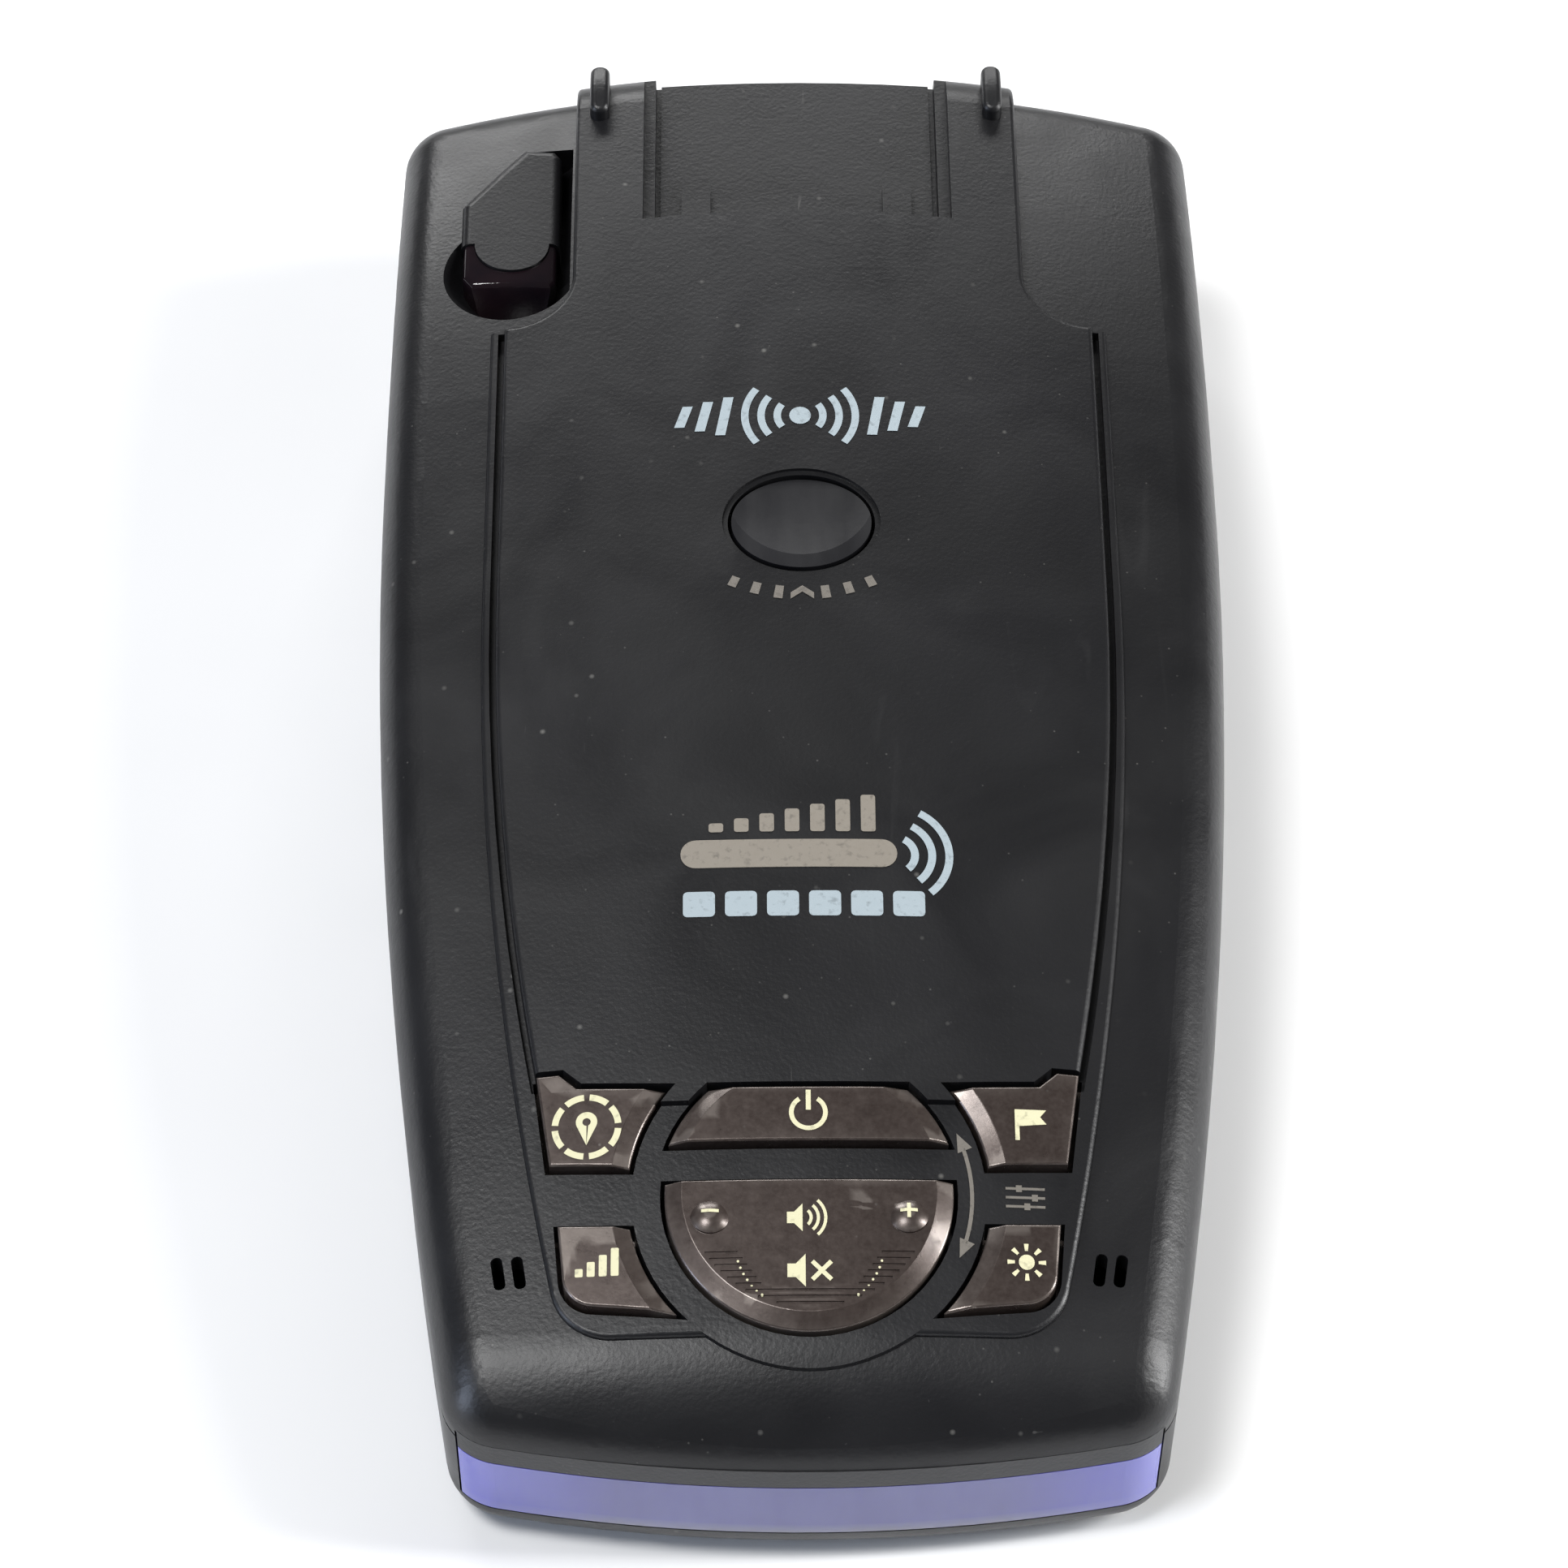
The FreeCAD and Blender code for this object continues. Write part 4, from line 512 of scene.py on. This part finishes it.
def band(x, y, radius, width, start, end, steps=24):
    """Outline of an arc-shaped band about (x, y), between two angles in degrees."""
    outer, inner = [], []
    for i in range(steps + 1):
        a = math.radians(start + (end - start) * i / steps)
        outer.append((x + (radius + width / 2) * math.cos(a), y + (radius + width / 2) * math.sin(a)))
        inner.append((x + (radius - width / 2) * math.cos(a), y + (radius - width / 2) * math.sin(a)))
    return outer + inner[::-1]


def bar(x0, x1, y0, y1, radius=0.0, steps=6):
    """Outline of a rectangle with round corners."""
    if not radius:
        return [(x0, y0), (x1, y0), (x1, y1), (x0, y1)]
    points = []
    for cx, cy, start in ((x1 - radius, y0 + radius, -90), (x1 - radius, y1 - radius, 0),
                          (x0 + radius, y1 - radius, 90), (x0 + radius, y0 + radius, 180)):
        for i in range(steps + 1):
            a = math.radians(start + 90 * i / steps)
            points.append((cx + radius * math.cos(a), cy + radius * math.sin(a)))
    return points


DECK = Surface("top_case")
ROCKER = Surface("volume_mute_key")
WAVE_WIDTH, WAVE_STEP = 0.62, 1.35      # millimetres, of the wave arcs on the deck


def deck_emblem():
    """Wordless emblem on the deck: three wave arcs each side of a dot, between slanted bars."""
    y = RELEASE_Y + 10.9 * MM
    dot_radius = 0.9 * MM
    first_wave, wave_span = 1.9, 76
    first_bar, bar_pitch, bar_half_width, lean = 6.3, 1.7, 0.42 * MM, 0.35 * MM
    shapes = [band(0, y, dot_radius / 2, dot_radius, 0, FULL_TURN)]
    for i in range(3):
        radius = (first_wave + WAVE_STEP * i) * MM
        for start in (-wave_span / 2, 180 - wave_span / 2):
            shapes.append(band(0, y, radius, WAVE_WIDTH * MM, start, start + wave_span))
    for side in (-1, 1):
        for i in range(3):
            x = side * (first_bar + bar_pitch * i) * MM
            half = (2.0 - 0.45 * i) * MM
            shapes.append([(x - bar_half_width - lean, y - half), (x + bar_half_width - lean, y - half),
                           (x + bar_half_width + lean, y + half), (x - bar_half_width + lean, y + half)])
    mark("deck_emblem", shapes, DECK, "housing", PALE_BLUE)


def release_legend():
    """Wordless mark on an arc below the release button: ticks either side of a chevron."""
    radius = 13.5 * MM
    low = RELEASE_Y - 7.3 * MM
    centre_y = low + radius
    tick_pitch, tick_half_span = 8.1, 1.5       # degrees
    shapes = []
    for i in (-3, -2, -1, 1, 2, 3):
        a = -90 + i * tick_pitch
        height = (1.35 - 0.12 * abs(i)) * MM
        shapes.append(band(0, centre_y, radius, height, a - tick_half_span, a + tick_half_span, 3))
    reach, drop, stroke = 0.95 * MM, 0.55 * MM, 0.6 * MM
    tip = low + 0.15 * MM
    shapes.append([(-reach, low - drop), (0, tip), (reach, low - drop),
                   (reach, low - drop + stroke), (0, tip + stroke), (-reach, low - drop + stroke)])
    mark("release_legend", shapes, DECK, "housing", DIM)


def deck_badge():
    """Wordless badge near the keys: level bars over a rounded bar, and a row of pale dashes."""
    y = DISC_Y + 28.6 * MM
    plate = bar(-9.8 * MM, 7.2 * MM, y - 1.3 * MM, y + 1.2 * MM, 1.2 * MM)
    mark("badge_bar", [plate], DECK, "housing", TAUPE)
    levels = []
    for i in range(7):
        x = (-7.6 + 2.0 * i) * MM
        levels.append(bar(x, x + 1.15 * MM, y + 1.9 * MM, y + (2.7 + 0.42 * i) * MM, 0.2 * MM, 3))
    mark("badge_levels", levels, DECK, "housing", TAUPE)
    waves = []
    for i in range(3):
        radius = (1.6 + WAVE_STEP * i) * MM
        waves.append(band(7.0 * MM, y - 0.2 * MM, radius, WAVE_WIDTH * MM, -50, 62))
    mark("badge_waves", waves, DECK, "housing", PALE_BLUE)
    dashes = []
    for i in range(6):
        x = -9.6 + 3.28 * i
        dashes.append(bar(x * MM, (x + 2.5) * MM, y - 5.6 * MM, y - 3.4 * MM, 0.35 * MM, 3))
    mark("badge_dashes", dashes, DECK, "housing", PALE_BLUE)


def power_legend():
    """Broken ring with a stroke."""
    y = far_y("power_button") - 3.05 * MM
    ring = band(0, y, 1.3 * MM, 0.36 * MM, 122, 418, 36)
    stroke = bar(-0.19 * MM, 0.19 * MM, y + 0.2 * MM, y + 1.85 * MM)
    mark("power_legend", [ring, stroke], Surface("power_button"), "power_button", CREAM)


def icon(name, shapes, x, y, scale, surface, body, material):
    """A small drawn symbol. shapes are outlines in units of scale about the origin."""
    placed = [[(x + scale * px, y + scale * py) for px, py in shape] for shape in shapes]
    mark(name, placed, surface, body, material)


def loudspeaker():
    """Outline of a loudspeaker seen from the side."""
    return [(-1.0, -0.38), (-0.55, -0.38), (-0.02, -0.92), (-0.02, 0.92), (-0.55, 0.38), (-1.0, 0.38)]


def cross(x, y, reach, width):
    """Outline of a diagonal cross."""
    points = []
    for i in range(4):
        a = math.radians(45 + 90 * i)
        along, aside = (math.cos(a), math.sin(a)), (-math.sin(a), math.cos(a))
        for side in (-1, 1):
            points.append((x + reach * along[0] + side * width * aside[0],
                           y + reach * along[1] + side * width * aside[1]))
        b = math.radians(90 + 90 * i)
        points.append((x + width * math.sqrt(2) * math.cos(b), y + width * math.sqrt(2) * math.sin(b)))
    return points


def rocker_mark(name, outlines):
    """A cream mark on the half-disc key."""
    mark(name, outlines, ROCKER, "volume_mute_key", CREAM)


def sound_legends():
    """Loudspeaker with waves for volume, and a crossed one for mute."""
    waves = [band(-0.1, 0, 0.62 + 0.46 * i, 0.2, -48, 48, 10) for i in range(3)]
    icon("volume_legend", [loudspeaker()] + waves, -0.5 * MM, DISC_Y - 2.3 * MM, 1.2 * MM, ROCKER,
         "volume_mute_key", CREAM)
    icon("mute_legend", [loudspeaker(), cross(0.85, 0, 0.72, 0.12)], -0.3 * MM, DISC_Y - 6.5 * MM, 1.4 * MM,
         ROCKER, "volume_mute_key", CREAM)


def nub_legends():
    """Minus and plus on the two domed nubs."""
    nub_x, nub_y = 7.5 * MM, DISC_Y - 1.85 * MM
    thin, reach = 0.14 * MM, 0.66 * MM
    rocker_mark("minus_legend", [bar(-nub_x - reach, -nub_x + reach, nub_y - thin, nub_y + thin)])
    plus = []
    for i in range(4):
        a = math.radians(90 * i)
        c, s = math.cos(a), math.sin(a)
        for px, py in ((reach, -thin), (reach, thin), (thin, thin)):
            plus.append((nub_x + c * px - s * py, nub_y + s * px + c * py))
    rocker_mark("plus_legend", [plus])


def mute_dots():
    """A row of dots up each side of the half-disc key."""
    sweep, dot = 5.2 * MM, 0.1 * MM
    dots = []
    for side in (-1, 1):
        for i in range(7):
            a = math.radians(-90 + side * (38 + 6.0 * i))
            x = side * 0.4 * MM + sweep * math.cos(a)
            y = DISC_Y - 4.3 * MM + sweep * math.sin(a)
            dots.append(band(x, y, 0.05 * MM, dot, 0, FULL_TURN, 8))
    rocker_mark("mute_dots", dots)


def round_points(x, y, radius, angles):
    """Points about (x, y) at some angles in degrees."""
    return [(x + radius * math.cos(math.radians(a)), y + radius * math.sin(math.radians(a))) for a in angles]


def key_icon(name, key, shapes, x, y, scale=MM):
    """A cream symbol on a corner key."""
    icon(name, shapes, x, y, scale, Surface(key), key, CREAM)


def key_legends():
    """Position pin in a broken ring, flag, rising bars and sun: one wordless symbol per corner key."""
    upper_y, lower_y = DISC_Y + 5.5 * MM, DISC_Y - 5.6 * MM
    ring = [band(0, 0, 2.42, 0.5, 45 * i + 5, 45 * i + 40, 8) for i in range(8)]
    key_icon("gps_ring", "gps_button", ring, -16.9 * MM, upper_y)
    outer = [(0, -1.5)] + round_points(0, 0.4, 0.82, range(-24, 205, 12)) + [(-0.004, -1.5)]
    inner = round_points(0, 0.4, 0.32, range(-90, -450, -24))
    key_icon("gps_pin", "gps_button", [outer + inner], -16.9 * MM, upper_y)
    flag = [(-1.1, -1.2), (-0.78, -1.2), (-0.78, -0.1), (1.2, 0.1), (0.75, 0.65), (1.2, 1.2), (-1.1, 1.2)]
    key_icon("mark_flag", "mark_button", [flag], 16.9 * MM, upper_y, 1.05 * MM)
    bars = [bar(-1.75 + 0.9 * i, -1.15 + 0.9 * i, -1.0, -0.35 + 0.52 * i, 0.1, 3) for i in range(4)]
    key_icon("sensitivity_bars", "sensitivity_button", bars, -15.9 * MM, lower_y)
    rays = [band(0, 0, 1.18, 0.56, 45 * i - 7, 45 * i + 7, 3) for i in range(8)]
    disc = round_points(0, 0, 0.6, range(0, 360, 15))
    key_icon("brightness_sun", "brightness_button", rays + [disc], 16.3 * MM, lower_y)


def slider(y, knob):
    """Outline of a thin bar with a square knob whose left side is at knob."""
    half, knob_half, knob_width, reach = 0.1, 0.27, 0.45, 1.5
    right = knob + knob_width
    return [(-reach, y - half), (knob, y - half), (knob, y - knob_half), (right, y - knob_half),
            (right, y - half), (reach, y - half), (reach, y + half), (right, y + half),
            (right, y + knob_half), (knob, y + knob_half), (knob, y + half), (-reach, y + half)]


def preference_legend():
    """Double-headed arc between the right-hand keys, with a sign of three sliders."""
    radius = 12.35 * MM
    head_length, head_half = 1.5, 0.6
    mark("preference_arc", [band(0, DISC_Y, radius, 0.3 * MM, -19, 19)], DECK, "housing", DIM)
    heads = []
    for side in (-1, 1):
        a = math.radians(side * 24)
        tip = Vector((radius * math.cos(a), DISC_Y + radius * math.sin(a)))
        on = Vector((-math.sin(a), math.cos(a))) * side
        out = Vector((math.cos(a), math.sin(a)))
        heads.append([tuple(tip), tuple(tip - on * head_length * MM + out * head_half * MM),
                      tuple(tip - on * head_length * MM - out * head_half * MM)])
    mark("preference_heads", heads, DECK, "housing", DIM)
    sliders = [slider(0.72 - 0.72 * i, knob) for i, knob in enumerate((-0.7, 0.5, -0.1))]
    icon("preference_sliders", sliders, 16.4 * MM, DISC_Y - 0.05 * MM, MM, DECK, "housing", DIM)


deck_emblem()
release_legend()
deck_badge()
power_legend()
sound_legends()
nub_legends()
mute_dots()
key_legends()
preference_legend()


# ---- light and floor ----------------------------------------------------------------------------
FLOOR_REACH = 3.0
FLOOR_GAP = 0.02 * MM       # between the floor and the detector
WORLD_STRENGTH = 0.09
COOL = (0.70, 0.80, 1.0)
CENTRE_LOW, CENTRE_HIGH = (0, 0, 0.01), (0, 0, 0.02)
LIGHTS = (                  # name, place, aim, width and height, watts, colour
    ("key_light", (-0.15, 1.15, 0.62), CENTRE_LOW, (1.0, 0.3), 9.0, WHITE),
    ("top_light", (-0.5, -0.2, 1.5), CENTRE_LOW, (0.5, 0.5), 17.0, WHITE),
    ("side_light", (0.75, -0.05, 0.26), CENTRE_HIGH, (0.10, 0.9), 11.0, WHITE),
    ("fill_light", (-0.8, -0.35, 0.3), CENTRE_HIGH, (0.2, 0.6), 4.0, COOL),
)


def make_floor():
    """Pale paper under the detector."""
    bm = bmesh.new()
    bmesh.ops.create_grid(bm, x_segments=1, y_segments=1, size=FLOOR_REACH)
    mesh = bpy.data.meshes.new("floor")
    bm.to_mesh(mesh)
    bm.free()
    floor = bpy.data.objects.new("floor", mesh)
    floor.location.z = LOW.z - FLOOR_GAP
    bpy.context.scene.collection.objects.link(floor)
    r = Recipe("floor_paper", (0.88, 0.88, 0.88), 0.9)
    r.colour(r.mix(r.ramp(r.noise(40.0), 0.3, 0.7), (0.87, 0.87, 0.87), (0.90, 0.90, 0.90)))
    mesh.materials.append(r.material)


def area_light(name, place, aim, size, power, colour):
    """A rectangular lamp turned towards aim."""
    data = bpy.data.lights.new(name, "AREA")
    data.shape = "RECTANGLE"
    data.size, data.size_y = size
    data.energy = power
    data.color = colour
    lamp = bpy.data.objects.new(name, data)
    lamp.location = place
    lamp.rotation_euler = (Vector(aim) - Vector(place)).to_track_quat("-Z", "Y").to_euler()
    bpy.context.scene.collection.objects.link(lamp)


def make_world():
    """Even white surroundings."""
    world = bpy.data.worlds.new("studio")
    world.use_nodes = True
    background = world.node_tree.nodes["Background"]
    background.inputs["Color"].default_value = (*WHITE, 1.0)
    background.inputs["Strength"].default_value = WORLD_STRENGTH
    bpy.context.scene.world = world


def keep_tones():
    """Shows the tones as they are lit, with no film curve over them."""
    bpy.context.scene.view_settings.view_transform = "Standard"


make_floor()
make_world()
keep_tones()
for light in LIGHTS:
    area_light(*light)
